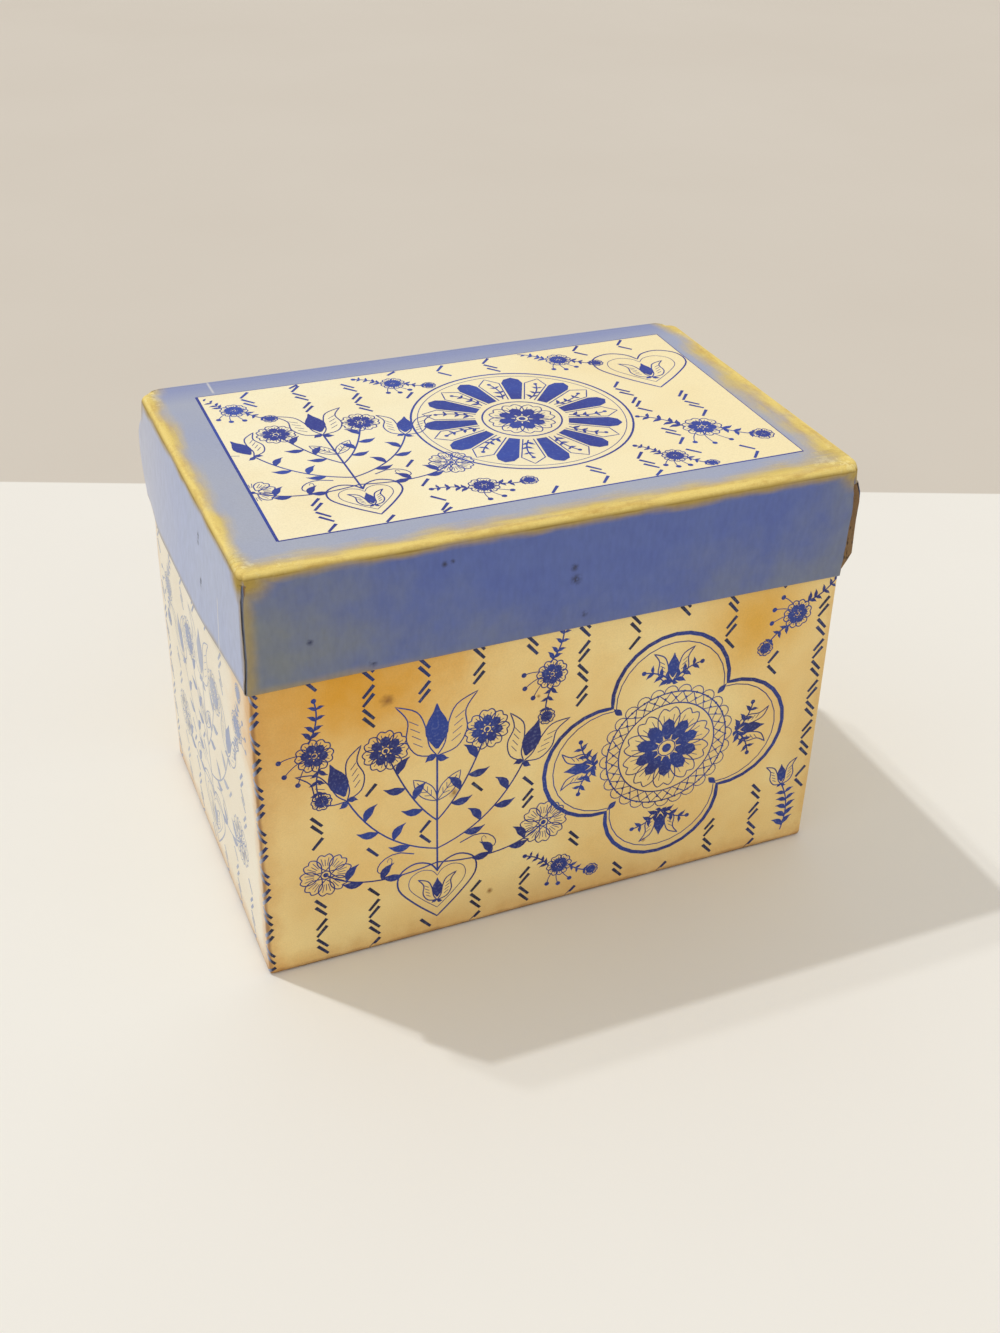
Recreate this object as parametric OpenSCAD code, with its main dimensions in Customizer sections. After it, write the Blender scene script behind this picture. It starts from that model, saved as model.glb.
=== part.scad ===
// Paper-covered chipboard box for recipe cards: a deep tray and a shallow lid whose skirts
// hang over the tray's front and ends, joined along the back by a folded paper hinge.
// Millimetres. The origin is on the table under the middle of the closed box, +Z is up,
// and the long front face looks along -Y.

/* [Overall size] */
// Width of the closed box across the top of the lid
box_w = 140.6; // [110:0.2:200]
// Depth of the closed box, from the front skirt to the hinge paper
box_d = 91.2; // [70:0.2:140]
// Height of the closed box
box_h = 104; // [70:1:150]

/* [Board and paper] */
// Thickness of the chipboard of tray and lid
board_t = 1; // [0.8:0.1:2]
// Thickness of the wrapping papers
paper_t = 0.15; // [0.1:0.05:0.3]
// Thickness of the corner stays, pressed flush into the board
stay_t = 0.15; // [0.1:0.05:0.3]
// Width of a corner stay on each side of its corner
stay_w = 12; // [8:1:20]
// How far the wraps turn in over the free edges of the walls
turn_in = 12; // [6:1:18]

/* [Tray] */
// Radius of the tray's upright corners
corner_r = 1; // [0.5:0.1:1.5]
// Margin between the bottom paper and the tray's outline
bottom_margin = 2; // [1:0.5:6]

/* [Lid] */
// Height of the lid's skirts
skirt_h = 27.5; // [20:0.5:45]
// Radius of the folded edges round the top of the lid
edge_r = 1.3; // [0.8:0.1:2]
// How far the lower edge of each end skirt has sprung outward
flare = 1.3; // [0:0.1:2.5]
// Height of whole paper above the split at each front corner
split_top = 2.4; // [2:0.2:6]
// Gap between front skirt and end skirt in the split
split_gap = 0.4; // [0.2:0.1:1]

/* [Fits] */
// Clearance between the lid's skirts and the tray
lid_gap = 0.15; // [0.1:0.05:0.6]
// Clearance between the tray's rim and the underside of the lid
rim_gap = 0.3; // [0.2:0.05:0.8]

/* [Hinge] */
// Thickness of the hinge strip under the lid wrap
strip_t = 0.15; // [0.1:0.05:0.3]
// Width of the hinge strip on the lid and on the tray's back
strip_w = 14; // [8:1:18]
// Height of the lid wrap's flap on the tray's back
flap_h = 27.5; // [20:0.5:45]
// How far the flap and the strip stay back from the tray's upright corners
flap_margin = 1.5; // [1.5:0.5:6]

/* [Hidden] */
$fn = 64;

// How far cutters reach past the faces that they cut
past = 5;

lid_wall = board_t + 2 * paper_t;
front_y = -box_d / 2;
back_y = box_d / 2;

// Lid levels: lower edge of the skirts, underside of the top, centre line of the top folds
skirt_z = box_h - skirt_h;
under_z = box_h - paper_t - board_t;
fold_z = box_h - edge_r;
slope = flare / (skirt_h - edge_r);

// Insets from the lid's outer faces: board's outside, stays' inside, middle of the board,
// board's inside, inside of the turned-in paper
in_board = paper_t;
in_stay = paper_t + stay_t;
in_mid_board = paper_t + board_t / 2;
in_hollow = paper_t + board_t;
in_turn = lid_wall;

// Front end of the end skirts, behind the front skirt and the split
end_y = front_y + lid_wall + split_gap;

// Tray: outline of its wrap, level of its rim and of its floor
tray_w = box_w - 2 * (lid_wall + lid_gap);
tray_front_y = front_y + lid_wall + lid_gap;
tray_back_y = back_y - paper_t - strip_t;
tray_d = tray_back_y - tray_front_y;
tray_y = (tray_front_y + tray_back_y) / 2;
rim_z = under_z - rim_gap;
wrap_z = paper_t;
board_z = wrap_z + paper_t;
floor_z = board_z + board_t;
flap_w = tray_w - 2 * flap_margin;

cream = "#ecd9ab";
blue = "#7f8cc4";
chipboard = "#8b6c46";
kraft = "#b08d5f";

// ---- shapes of the tray ----

// Rectangle with round corners, or square ones where r is 0
module soft_rect(w, d, r) {
    square([w - 2 * r, d], center = true);
    square([w, d - 2 * r], center = true);
    if (r > 0)
        for (x = [-1, 1], y = [-1, 1])
            translate([x * (w / 2 - r), y * (d / 2 - r)]) circle(r);
}

// Upright block that follows the tray's outline, inset on all sides
module tray_block(inset, low, high) {
    r = max(corner_r - inset, 0);
    translate([0, tray_y, low])
        linear_extrude(high - low)
            soft_rect(tray_w - 2 * inset, tray_d - 2 * inset, r);
}

// The tray's board before the stays are pressed in: floor and four walls
module tray_board_shell() {
    difference() {
        tray_block(paper_t, board_z, rim_z - paper_t);
        tray_block(paper_t + board_t, floor_z, rim_z + past);
    }
}

// Paper angles pressed into the board's outside at the four upright corners. As a cutter
// for their pockets they reach out past the board.
module tray_stays(out = 0) {
    intersection() {
        difference() {
            tray_block(paper_t - out, board_z - out, rim_z - paper_t + out);
            tray_block(paper_t + stay_t, board_z - 2 * past, rim_z + 2 * past);
        }
        for (x = [-1, 1], y = [-1, 1])
            translate([x * tray_w / 2, tray_y + y * tray_d / 2, rim_z / 2])
                cube([2 * stay_w, 2 * stay_w, 2 * rim_z], center = true);
    }
}

// ---- shapes of the lid ----

// Half width of the lid at a level, inset from its outer face
function half_w(inset, z) = box_w / 2 - inset + slope * (fold_z - z);

// Section across the width: sprung end skirts below the folds
module lid_width_section(inset, low) {
    r = max(edge_r - inset, 0);
    half = box_w / 2 - inset;
    top = box_h - inset;
    polygon([[-half_w(inset, low), low], [half_w(inset, low), low],
             [half, fold_z], [half, top - r], [-half, top - r], [-half, fold_z]]);
    translate([-(half - r), fold_z]) square([2 * (half - r), top - fold_z]);
    if (r > 0)
        for (x = [-1, 1]) translate([x * (half - r), fold_z]) circle(r);
}

// Section from front to back: round fold at the front, square edge at the hinge
module lid_depth_section(inset, low, back) {
    r = max(edge_r - inset, 0);
    front = front_y + inset;
    top = box_h - inset;
    translate([front, low]) square([back - front, top - r - low]);
    translate([front + r, low]) square([back - front - r, top - low]);
    if (r > 0) translate([front + r, top - r]) circle(r);
}

// Solid lid shape, inset on its outer faces, down to a level and back to a plane
module lid_block(inset, low, back) {
    intersection() {
        rotate([90, 0, 0])
            linear_extrude(2 * box_d, center = true) lid_width_section(inset, low);
        rotate([90, 0, 90])
            linear_extrude(2 * box_w, center = true) lid_depth_section(inset, low, back);
    }
}

// Space under the lid between its skirts, inset from the lid's ends and from its front,
// open at the back and below
module lid_hollow(end_inset, front_inset) {
    low = skirt_z - past;
    half = box_w / 2 - end_inset;
    rotate([90, 0, 0])
        translate([0, 0, -(back_y + past)])
            linear_extrude(back_y + past - front_y - front_inset)
                polygon([[-half_w(end_inset, low), low], [half_w(end_inset, low), low],
                         [half, fold_z], [half, under_z], [-half, under_z], [-half, fold_z]]);
}

// What the split front corners leave open: the notch beside the front skirt, from a given
// half width outward, back to the front ends of the end skirts
module corner_splits(front_half_w) {
    low = skirt_z - past;
    high = box_h - split_top;
    for (side = [0, 1]) mirror([side, 0, 0])
        translate([front_half_w, front_y - past, low])
            cube([in_turn + flare + past, end_y - front_y + past, high - low]);
}

// The lid's board before stays and strip are pressed in: top and three skirts
module lid_board_shell() {
    difference() {
        lid_block(in_board, skirt_z + paper_t, back_y - paper_t);
        lid_hollow(in_hollow, in_hollow);
        corner_splits(box_w / 2 - in_turn);
    }
}

// Paper strips pressed into the outside of front and end skirts beside the splits. As a
// cutter for their pockets they reach out past the board.
module lid_stays(out = 0) {
    low = skirt_z + paper_t - out;
    high = box_h - split_top;
    outside = in_board - out;
    for (side = [0, 1]) mirror([side, 0, 0]) {
        translate([box_w / 2 - in_turn - stay_w, front_y + outside, low])
            cube([stay_w + out, stay_t + out, high - low]);
        translate([0, end_y + stay_w, 0])
            rotate([90, 0, 0])
                linear_extrude(stay_w + out)
                    polygon([[half_w(in_stay, low), low], [half_w(outside, low), low],
                             [half_w(outside, high), high], [half_w(in_stay, high), high]]);
    }
}

// Hinge strip on the lid: on the board's top along the back and over its back edge. As a
// cutter for its pocket it reaches out past the board.
module lid_strip(out = 0) {
    translate([-flap_w / 2, back_y - paper_t - strip_w, box_h - paper_t - strip_t])
        cube([flap_w, strip_w + out, strip_t + out]);
    translate([-flap_w / 2, back_y - paper_t - strip_t, under_z - out])
        cube([flap_w, strip_t + out, board_t + out]);
}

// ---- tray pieces ----

module base_board() {
    color(chipboard) difference() {
        tray_board_shell();
        tray_stays(past);
    }
}

module base_corner_stays() {
    color(kraft) tray_stays();
}

module base_wrap() {
    color(cream) difference() {
        tray_block(0, wrap_z, rim_z);
        tray_board_shell();
        tray_block(lid_wall, floor_z, rim_z + past);
        tray_block(paper_t + board_t, floor_z, rim_z - turn_in);
        tray_block(paper_t + turn_in, wrap_z - past, floor_z);
    }
}

module bottom_paper() {
    color(cream) translate([0, tray_y, 0])
        linear_extrude(paper_t)
            square([tray_w - 2 * bottom_margin, tray_d - 2 * bottom_margin], center = true);
}

module hinge_strip_tray() {
    color(kraft) translate([-flap_w / 2, tray_back_y, rim_z - strip_w])
        cube([flap_w, strip_t, strip_w]);
}

module back_flap() {
    color(blue) difference() {
        translate([-flap_w / 2, tray_back_y, rim_z - flap_h])
            cube([flap_w, strip_t + paper_t, flap_h]);
        translate([-flap_w / 2, tray_back_y, rim_z - strip_w])
            cube([flap_w, strip_t, strip_w]);
    }
}

// ---- lid pieces ----

module lid_board() {
    color(chipboard) difference() {
        lid_board_shell();
        lid_stays(past);
        lid_strip(past);
    }
}

module lid_corner_stays() {
    color(kraft) lid_stays();
}

module lid_wrap() {
    color(blue) difference() {
        lid_block(0, skirt_z, back_y);
        lid_board_shell();
        lid_hollow(in_turn, in_turn);
        intersection() {
            lid_hollow(in_mid_board, in_hollow);
            translate([-box_w, front_y, skirt_z + turn_in]) cube([2 * box_w, 2 * box_d, skirt_h]);
        }
        corner_splits(box_w / 2 - in_hollow);
    }
}

module hinge_strip_lid() {
    color(kraft) lid_strip();
}

base_board();
base_corner_stays();
base_wrap();
bottom_paper();
hinge_strip_tray();
back_flap();
lid_board();
lid_corner_stays();
lid_wrap();
hinge_strip_lid();
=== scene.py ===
# %% [markdown]
# # A recipe card box
# The object is a paper-covered rigid box: chipboard folded into a deep tray and a shallow
# lid, each covered with a printed paper that is glued on and turned in over the edges. The
# lid hangs on a paper hinge along its back edge. It has been handled for decades, so the
# blue of the lid is rubbed off along its folds, the front corners of the lid have split,
# and the cream paper of the tray has yellowed.
#
# Everything here is modelled in the order in which a box maker works: board first, then
# the papers as flat sheets that are folded over the board, then the ink as a film that
# was printed on the flat sheet and follows each fold.

import math
from functools import partial

import bmesh
import bpy
from mathutils import Matrix, Vector, noise


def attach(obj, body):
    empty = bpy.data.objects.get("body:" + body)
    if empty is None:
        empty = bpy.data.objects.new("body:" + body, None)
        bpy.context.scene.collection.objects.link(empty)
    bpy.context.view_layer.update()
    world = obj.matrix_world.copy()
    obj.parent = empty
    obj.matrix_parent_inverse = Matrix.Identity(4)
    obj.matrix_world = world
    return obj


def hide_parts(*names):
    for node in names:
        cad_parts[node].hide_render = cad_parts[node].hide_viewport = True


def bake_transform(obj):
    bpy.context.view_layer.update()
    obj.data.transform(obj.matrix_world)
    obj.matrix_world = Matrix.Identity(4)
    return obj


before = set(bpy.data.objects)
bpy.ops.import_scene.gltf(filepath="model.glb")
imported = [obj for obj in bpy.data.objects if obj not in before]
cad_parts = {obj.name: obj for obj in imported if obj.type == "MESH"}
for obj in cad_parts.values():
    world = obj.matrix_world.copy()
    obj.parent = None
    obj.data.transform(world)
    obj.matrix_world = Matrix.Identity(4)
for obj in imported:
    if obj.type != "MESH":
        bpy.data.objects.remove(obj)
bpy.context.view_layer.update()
MM = 0.001

# %% [markdown]
# ## The camera
# The photographer stood to the left of the front, looked down at about a third of a right
# angle, and held the camera a little crooked. Heading, pitch and roll are turned into the
# camera's own axes. The lens is given as the focal length that fills a 36 mm long side.

# %% Camera
CAMERA_PLACE = Vector((-123.25, -292.65, 250.36)) * MM
HEADING, PITCH, ROLL = math.radians(23.525), math.radians(33.566), math.radians(1.667)
LENS = 41.85

ahead = Vector((math.sin(HEADING) * math.cos(PITCH), math.cos(HEADING) * math.cos(PITCH), -math.sin(PITCH)))
level = ahead.cross(Vector((0, 0, 1))).normalized()
upward = level.cross(ahead)
camera_x = level * math.cos(ROLL) + upward * math.sin(ROLL)
camera_y = upward * math.cos(ROLL) - level * math.sin(ROLL)


def in_scene(name, data):
    """A new object with this data, put in the scene."""
    made = bpy.data.objects.new(name, data)
    bpy.context.scene.collection.objects.link(made)
    return made


def mesh_object(name, bm):
    """Turns bm into a mesh, and that into an object in the scene."""
    mesh = bpy.data.meshes.new(name)
    bm.to_mesh(mesh)
    bm.free()
    return in_scene(name, mesh)


camera = in_scene("camera", bpy.data.cameras.new("camera"))
turned = Matrix((camera_x, camera_y, -ahead)).transposed().to_4x4()
camera.matrix_world = Matrix.Translation(CAMERA_PLACE) @ turned
camera.data.lens = LENS
camera.data.sensor_width = 36
camera.data.clip_start, camera.data.clip_end = 0.01, 50
bpy.context.scene.camera = camera
bpy.context.scene.view_settings.view_transform = "Standard"
print("camera at", tuple(round(c, 4) for c in CAMERA_PLACE), "lens", LENS)

# %% [markdown]
# ## Colours and nodes
# Colours are written as sRGB hex, as a colour picker shows them, and one function turns
# them into the linear values that shaders use. One more function adds a node, sets it up
# and links what goes into it; every material below is built with it.

# %% Colour and node helpers
def hex_linear(code):
    """'#RRGGBB' as a linear RGBA tuple."""
    channels = (int(code[i : i + 2], 16) / 255 for i in (1, 3, 5))
    return tuple(c / 12.92 if c <= 0.04045 else ((c + 0.055) / 1.055) ** 2.4 for c in channels) + (1.0,)


CHOICE = {"Math": "operation", "VectorMath": "operation", "Mix": "data_type", "MapRange": "interpolation_type"}


def node(tree, kind, inputs=(), out=None, **settings):
    """Adds one node with its settings and links, and returns its output.

    A word after a dot in kind is the node's main choice, such as the operation of a sum.
    inputs names the sockets, or lists those in use in their order. A value is a number, a
    colour as '#RRGGBB', or the output of another node.
    """
    kind, _, choice = kind.partition(".")
    made = tree.nodes.new("ShaderNode" + kind)
    if choice:
        settings[CHOICE[kind]] = choice
    for name, value in settings.items():
        setattr(made, name, value)
    in_use = [socket for socket in made.inputs if socket.enabled]
    for key, value in inputs.items() if isinstance(inputs, dict) else enumerate(inputs):
        socket = made.inputs[key] if isinstance(key, str) else in_use[key]
        if isinstance(value, bpy.types.NodeSocket):
            tree.links.new(value, socket)
        else:
            socket.default_value = hex_linear(value) if isinstance(value, str) else value
    return made.outputs[out] if out else next((socket for socket in made.outputs if socket.enabled), None)


def new_material(name):
    """An empty node material, and the function that adds a node to it."""
    material = bpy.data.materials.new(name)
    material.use_nodes = True
    material.node_tree.nodes.clear()
    return material, partial(node, material.node_tree)


def paper_places(add):
    """Where a point of a paper is: in space, on the flat sheet (twice), and its notes on wear."""
    place = add("TexCoord", out="Object")
    sheet, worn = (add("Attribute", attribute_name=name, out="Vector") for name in ("sheet", "worn"))
    return place, sheet, add("SeparateXYZ", [sheet]).node.outputs, add("SeparateXYZ", [worn]).node.outputs


def finish_material(add, colour, rough, height, strength, distance, ior=1.5):
    """Ends a material: a bump from height, and a surface of this colour and roughness."""
    bump = add("Bump", {"Strength": strength, "Distance": distance, "Height": height})
    surface = add("BsdfPrincipled", {"Base Color": colour, "Roughness": rough, "IOR": ior, "Normal": bump})
    add("OutputMaterial", {"Surface": surface})


print("aged cream in linear values:", [round(c, 3) for c in hex_linear("#F2DFAE")])

# %% [markdown]
# ## Table, backdrop and light
# The box stands on a near-white table, and beyond its back edge is a darker grey-beige
# backdrop. From so high up the camera sees no horizon, so one wide floor does for both:
# its material changes colour along a straight line behind the box.
#
# Two ceiling lamps behind the left end throw the two overlapping shadows toward the front
# right. The rest of the room is an even, slightly warm glow. Together they add up to
# about 1 on a level surface, so a colour renders about as it is written.

# %% Stage and lights
FLOOR_HALF = 3.0
EDGE_POINT, EDGE_TURN = Vector((0, 0.1867, 0)), math.radians(-21.4)

bm = bmesh.new()
bmesh.ops.create_grid(bm, x_segments=8, y_segments=8, size=FLOOR_HALF)
floor = mesh_object("floor", bm)

material, add = new_material("painted table and paper backdrop")
place = add("TexCoord", out="Object")
mottle = add("TexNoise", [place, 6, 3])
beyond = add("VectorMath.DOT_PRODUCT", [place, (-math.sin(EDGE_TURN), math.cos(EDGE_TURN), 0)])
edge_at = EDGE_POINT.y * math.cos(EDGE_TURN)
behind = add("MapRange", [beyond, edge_at - 0.0004, edge_at + 0.0004])
table_colour = add("Mix.RGBA", [mottle, "#F5F4EF", "#EFECE6"])
drop_colour = add("Mix.RGBA", [mottle, "#D8D1C7", "#D2CABF"])
colour = add("Mix.RGBA", [behind, table_colour, drop_colour])
surface = add("BsdfPrincipled", {"Base Color": colour, "Roughness": 0.75, "Specular IOR Level": 0.25})
add("OutputMaterial", {"Surface": surface})
floor.data.materials.append(material)

LAMPS = [  # name, direction toward it, strength, tint, angle that it fills
    ("near ceiling lamp", (-0.303, 0.349, 0.887), 0.76, (0.97, 0.99, 1.0), 0.022),
    ("far ceiling lamp", (-0.327, 0.413, 0.850), 0.30, (0.97, 0.99, 1.0), 0.03),
]
for name, toward, strength, tint, angle in LAMPS:
    lamp = in_scene(name, bpy.data.lights.new(name, "SUN"))
    lamp.data.energy, lamp.data.color, lamp.data.angle = strength, tint, angle
    lamp.rotation_euler = Vector(toward).to_track_quat("Z", "Y").to_euler()

world = bpy.data.worlds.new("even room light")
bpy.context.scene.world = world
world.use_nodes = True
world.node_tree.nodes.clear()
add = partial(node, world.node_tree)
seen = add("LightPath", out="Is Camera Ray")
glow = add("Background", {"Color": (1, 0.955, 0.89, 1), "Strength": 0.70})
plain = add("Background", {"Color": "#D5CDC3", "Strength": 1})
room = add("MixShader", [seen, glow, plain])
add("OutputWorld", {"Surface": room})
print("lamps:", [name for name, *_ in LAMPS])

# %% [markdown]
# ## Folding paper
# A box maker cuts each paper flat, glues it, and folds it over the board. The model does
# the same: every paper starts as a flat grid ruled in millimetres, u across and v up, and
# a folding function carries each ruled point to its place on the box. The ruling is close
# where a fold needs it and wide on the flat walls. A lift in that function raises a point
# off the paper, so that printed ink can later be laid on the very same folds.
#
# Building each wall as a plate and joining them would also work, but then the seams
# would not be where real paper has them, and the print would not run round corners.

# %% Ruling and folding a sheet
def ruled(*stops):
    """Positions from stops (start, step), (next, step), ... , (end, anything)."""
    lines = []
    for (low, step), (high, _) in zip(stops, stops[1:]):
        count = max(1, math.ceil((high - low) / step - 1e-6))
        lines += [low + (high - low) * i / count for i in range(count)]
    return lines + [stops[-1][0]]


def folded_sheet(name, us, vs, fold, worn=None, cut=None):
    """A flat sheet ruled at us and vs, cut where cut() says, and folded by fold()."""
    bm = bmesh.new()
    bmesh.ops.create_grid(bm, x_segments=len(us) - 1, y_segments=len(vs) - 1, size=1)
    for vert in bm.verts:
        column = round((vert.co.x + 1) / 2 * (len(us) - 1))
        row = round((vert.co.y + 1) / 2 * (len(vs) - 1))
        vert.co = (us[column], vs[row], 0)
    if cut:
        gone = [f for f in bm.faces if cut(f.calc_center_median().x, f.calc_center_median().y)]
        bmesh.ops.delete(bm, geom=gone, context="FACES")
    flat = bm.verts.layers.float_vector.new("sheet")
    rubbed = bm.verts.layers.float_vector.new("worn")
    for vert in bm.verts:
        u, v = vert.co.x, vert.co.y
        vert[flat] = (u, v, 0)
        vert[rubbed] = worn(u, v) if worn else (99, 99, 99)
        vert.co = fold(u, v, 0) * MM
    bmesh.ops.remove_doubles(bm, verts=bm.verts, dist=1e-7)
    bmesh.ops.dissolve_degenerate(bm, edges=bm.edges, dist=1e-7)
    made = mesh_object(name, bm)
    for polygon in made.data.polygons:
        polygon.use_smooth = True
    return made


def thicken(sheet, thickness):
    """Gives a folded sheet its thickness, inward from its printed side."""
    solid = sheet.modifiers.new("paper thickness", "SOLIDIFY")
    solid.thickness, solid.offset, solid.use_even_offset = thickness * MM, -1, False
    return sheet


def smooth(low, high, x):
    """0 below low, 1 above high, and a smooth ramp between them."""
    t = min(max((x - low) / (high - low), 0), 1)
    return t * t * (3 - 2 * t)


print("a ruled line:", ruled((0, 2), (5, 0.5), (6, 0)))

# %% [markdown]
# ## The tray's folds
# The tray's paper runs once round the four walls. u is the way round, counted from the
# front left corner toward the right, and v is the height. Below the wall the sheet turns
# under the bottom, and above it goes over the rim and down inside. Where it turns in, the
# corners close to a mitre, as a box maker cuts them.
#
# Old board is never quite flat. The walls lean in a little toward the rim, more at the
# right end, and the front and back swell by a fraction of a millimetre.

# %% Tray sizes and fold
BOARD, PAPER = 1.0, 0.15
HALF_X, HALF_Y, MID_Y = 68.85, 44.725, 0.575
RIM_Z, WRAP_Z, TURN_IN = 102.55, 0.15, 12.0
CORNER_R, BOTTOM_R, RIM_R = 1.0, 0.8, 0.65
QUARTER = math.pi * CORNER_R / 2
SIDES = (2 * (HALF_X - CORNER_R), 2 * (HALF_Y - CORNER_R))
ROUND = 2 * sum(SIDES) + 4 * QUARTER
WALL_LOW, WALL_HIGH = WRAP_Z + BOTTOM_R, RIM_Z - RIM_R
SEAM_U, LAP = 238.0, 8.0


def tray_outline(u, inset):
    """The point u mm round the tray's outline, inset from its outer face."""
    u = (u + QUARTER / 2) % ROUND
    r = max(CORNER_R - inset, 0)
    for k in range(4):
        corner_x = (HALF_X - inset - r) * (1 if k in (1, 2) else -1)
        corner_y = (HALF_Y - inset - r) * (1 if k > 1 else -1)
        if u < QUARTER:
            angle = math.radians(180 + 90 * k) + u / CORNER_R
            return corner_x + r * math.cos(angle), corner_y + r * math.sin(angle)
        u -= QUARTER
        if u < SIDES[k % 2]:
            angle = math.radians(270 + 90 * k)
            half = (HALF_X, HALF_Y)[k % 2] - inset
            along = min(max(u - SIDES[k % 2] / 2, r - half), half - r)
            out = (HALF_Y, HALF_X)[k % 2] - inset
            c, s = math.cos(angle), math.sin(angle)
            return out * c - along * s, out * s + along * c
        u -= SIDES[k % 2]


def wall_section(v):
    """Inset, height and outward and upward parts of the normal, v mm up the sheet."""
    if v < WALL_LOW:
        a = (WALL_LOW - v) / BOTTOM_R
        if a < math.pi / 2:
            return BOTTOM_R * (1 - math.cos(a)), WALL_LOW - BOTTOM_R * math.sin(a), math.cos(a), -math.sin(a)
        return BOTTOM_R * (1 + a - math.pi / 2), WRAP_Z, 0, -1
    if v < WALL_HIGH:
        return 0, v, 1, 0
    a = (v - WALL_HIGH) / RIM_R
    if a < math.pi:
        return RIM_R * (1 - math.cos(a)), WALL_HIGH + RIM_R * math.sin(a), math.cos(a), math.sin(a)
    return 2 * RIM_R, WALL_HIGH - RIM_R * (a - math.pi), -1, 0


LEAN_LEFT, LEAN_RIGHT, SWELL, END_SWELL, PULL_IN = 0.95, 1.55, 0.5, 0.35, 0.25


def tray_sag(x, y, z):
    """How the tray's walls have leaned and swollen since it was new."""
    across, deep, up = x / HALF_X, (y - MID_Y) / HALF_Y, z / RIM_Z
    x += LEAN_LEFT * smooth(58, 103, z) * (1 - across) / 2
    x -= (LEAN_RIGHT * smooth(0, 105, z) - 0.15) * (1 + across) / 2
    belly = math.sin(math.pi * min(max(up * 1.1, 0), 1))
    ripple = 0.12 * noise.noise(Vector((x / 31, y / 27, z / 24))) * smooth(2, 20, z)
    back = smooth(-0.3, 0.7, deep)
    swell = SWELL * belly * math.cos(math.pi / 2 * min(abs(across), 1)) - PULL_IN * smooth(70, 103, z)
    y += (deep * swell + ripple) * (1 - back) - (0.06 + 0.5 * abs(ripple)) * back
    x += across * END_SWELL * belly * math.cos(math.pi / 2 * min(abs(deep), 1)) + ripple
    return Vector((x, y, z))


def tray_fold(u, v, lift=0):
    """The tray paper's outer face, lift mm off it."""
    inset, z, n_out, n_up = wall_section(v)
    lift += PAPER * smooth(SEAM_U - 0.3, SEAM_U + 0.3, u)
    x, y = tray_outline(u, inset - lift * n_out)
    return tray_sag(x, y + MID_Y, z + lift * n_up)


corner_us = [SIDES[0] + QUARTER, ROUND / 2, ROUND / 2 + SIDES[0] + QUARTER, ROUND]
# where the sheet crosses the front left, front right, back right and back left corner
CORNERS = [0, corner_us[0], corner_us[1] - ROUND, corner_us[2] - ROUND]
print("round the tray:", round(ROUND, 1), "mm; corners at", [round(u, 1) for u in corner_us])

# %% Tray wrap
def tray_worn(u, v):
    """Distance to the nearest upright corner, above the bottom edge, and below the rim."""
    u = u % ROUND
    corner = min(min(u, ROUND - u), *(abs(u - c) + 1.5 for c in corner_us[:3]))
    return corner, abs(v - WRAP_Z), abs(v - WALL_HIGH - RIM_R * math.pi / 2)


us, start = [], SEAM_U - ROUND
for corner in (CORNERS[3], 0, corner_us[0], corner_us[1]):
    us += ruled((start, 2.0), (corner - 1.2, 0.26), (corner + 1.2, 0))[:-1]
    start = corner + 1.2
us += ruled((start, 2.0), (SEAM_U - 0.3, 0.15), (SEAM_U + 0.3, 2.0), (SEAM_U + LAP, 0))
foot, rim = WALL_LOW - BOTTOM_R * math.pi / 2, WALL_HIGH + RIM_R * math.pi
vs = ruled((foot - TURN_IN, 2.0), (foot, 0.25), (WALL_LOW, 2.0), (WALL_HIGH, 0.2), (rim, 2.0), (rim + TURN_IN, 0))
tray_wrap = thicken(folded_sheet("tray_paper", us, vs, tray_fold, tray_worn), PAPER)
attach(tray_wrap, "tray")
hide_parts("base_wrap")
print("tray wrap:", len(us), "by", len(vs), "ruled lines,", len(tray_wrap.data.polygons), "faces")

# %% [markdown]
# ## The tray's board
# Under the paper is one blank of grey-brown chipboard, scored and folded up. Its wall
# panels meet in butt joints at the corners, and paper angles called stays hold them.
# Each panel is a block with slightly broken edges; it is divided finely enough to follow
# the lean of the walls.

# %% Board panels
BROKEN = 0.12  # how far the edges of the board are broken


def board_panel(whole, low, high, step=8.0):
    """Adds a block of board between two corners, edges broken, ruled every few mm."""
    size = [h - l for l, h in zip(low, high)]
    bm = bmesh.new()
    bmesh.ops.create_cube(bm, size=1)
    for vert in bm.verts:
        vert.co = [l + s * (c + 0.5) for l, s, c in zip(low, size, vert.co)]
    bmesh.ops.bevel(bm, geom=bm.edges[:], offset=BROKEN, affect="EDGES", segments=2, profile=0.5, material=-1)
    for axis in range(3):
        count = int(size[axis] // step)
        for i in range(1, count + 1):
            at, normal = Vector(low), Vector()
            at[axis] += size[axis] * i / (count + 1)
            normal[axis] = 1
            every = bm.verts[:] + bm.edges[:] + bm.faces[:]
            bmesh.ops.bisect_plane(bm, geom=every, plane_co=at, plane_no=normal)
    panel = bpy.data.meshes.new("panel")
    bm.to_mesh(panel)
    bm.free()
    whole.from_mesh(panel)
    bpy.data.meshes.remove(panel)


def finish_board(name, bm, sag):
    """Bends the panels as the box has bent and makes them one object."""
    for vert in bm.verts:
        vert.co = sag(*vert.co) * MM
    return mesh_object(name, bm)


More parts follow.
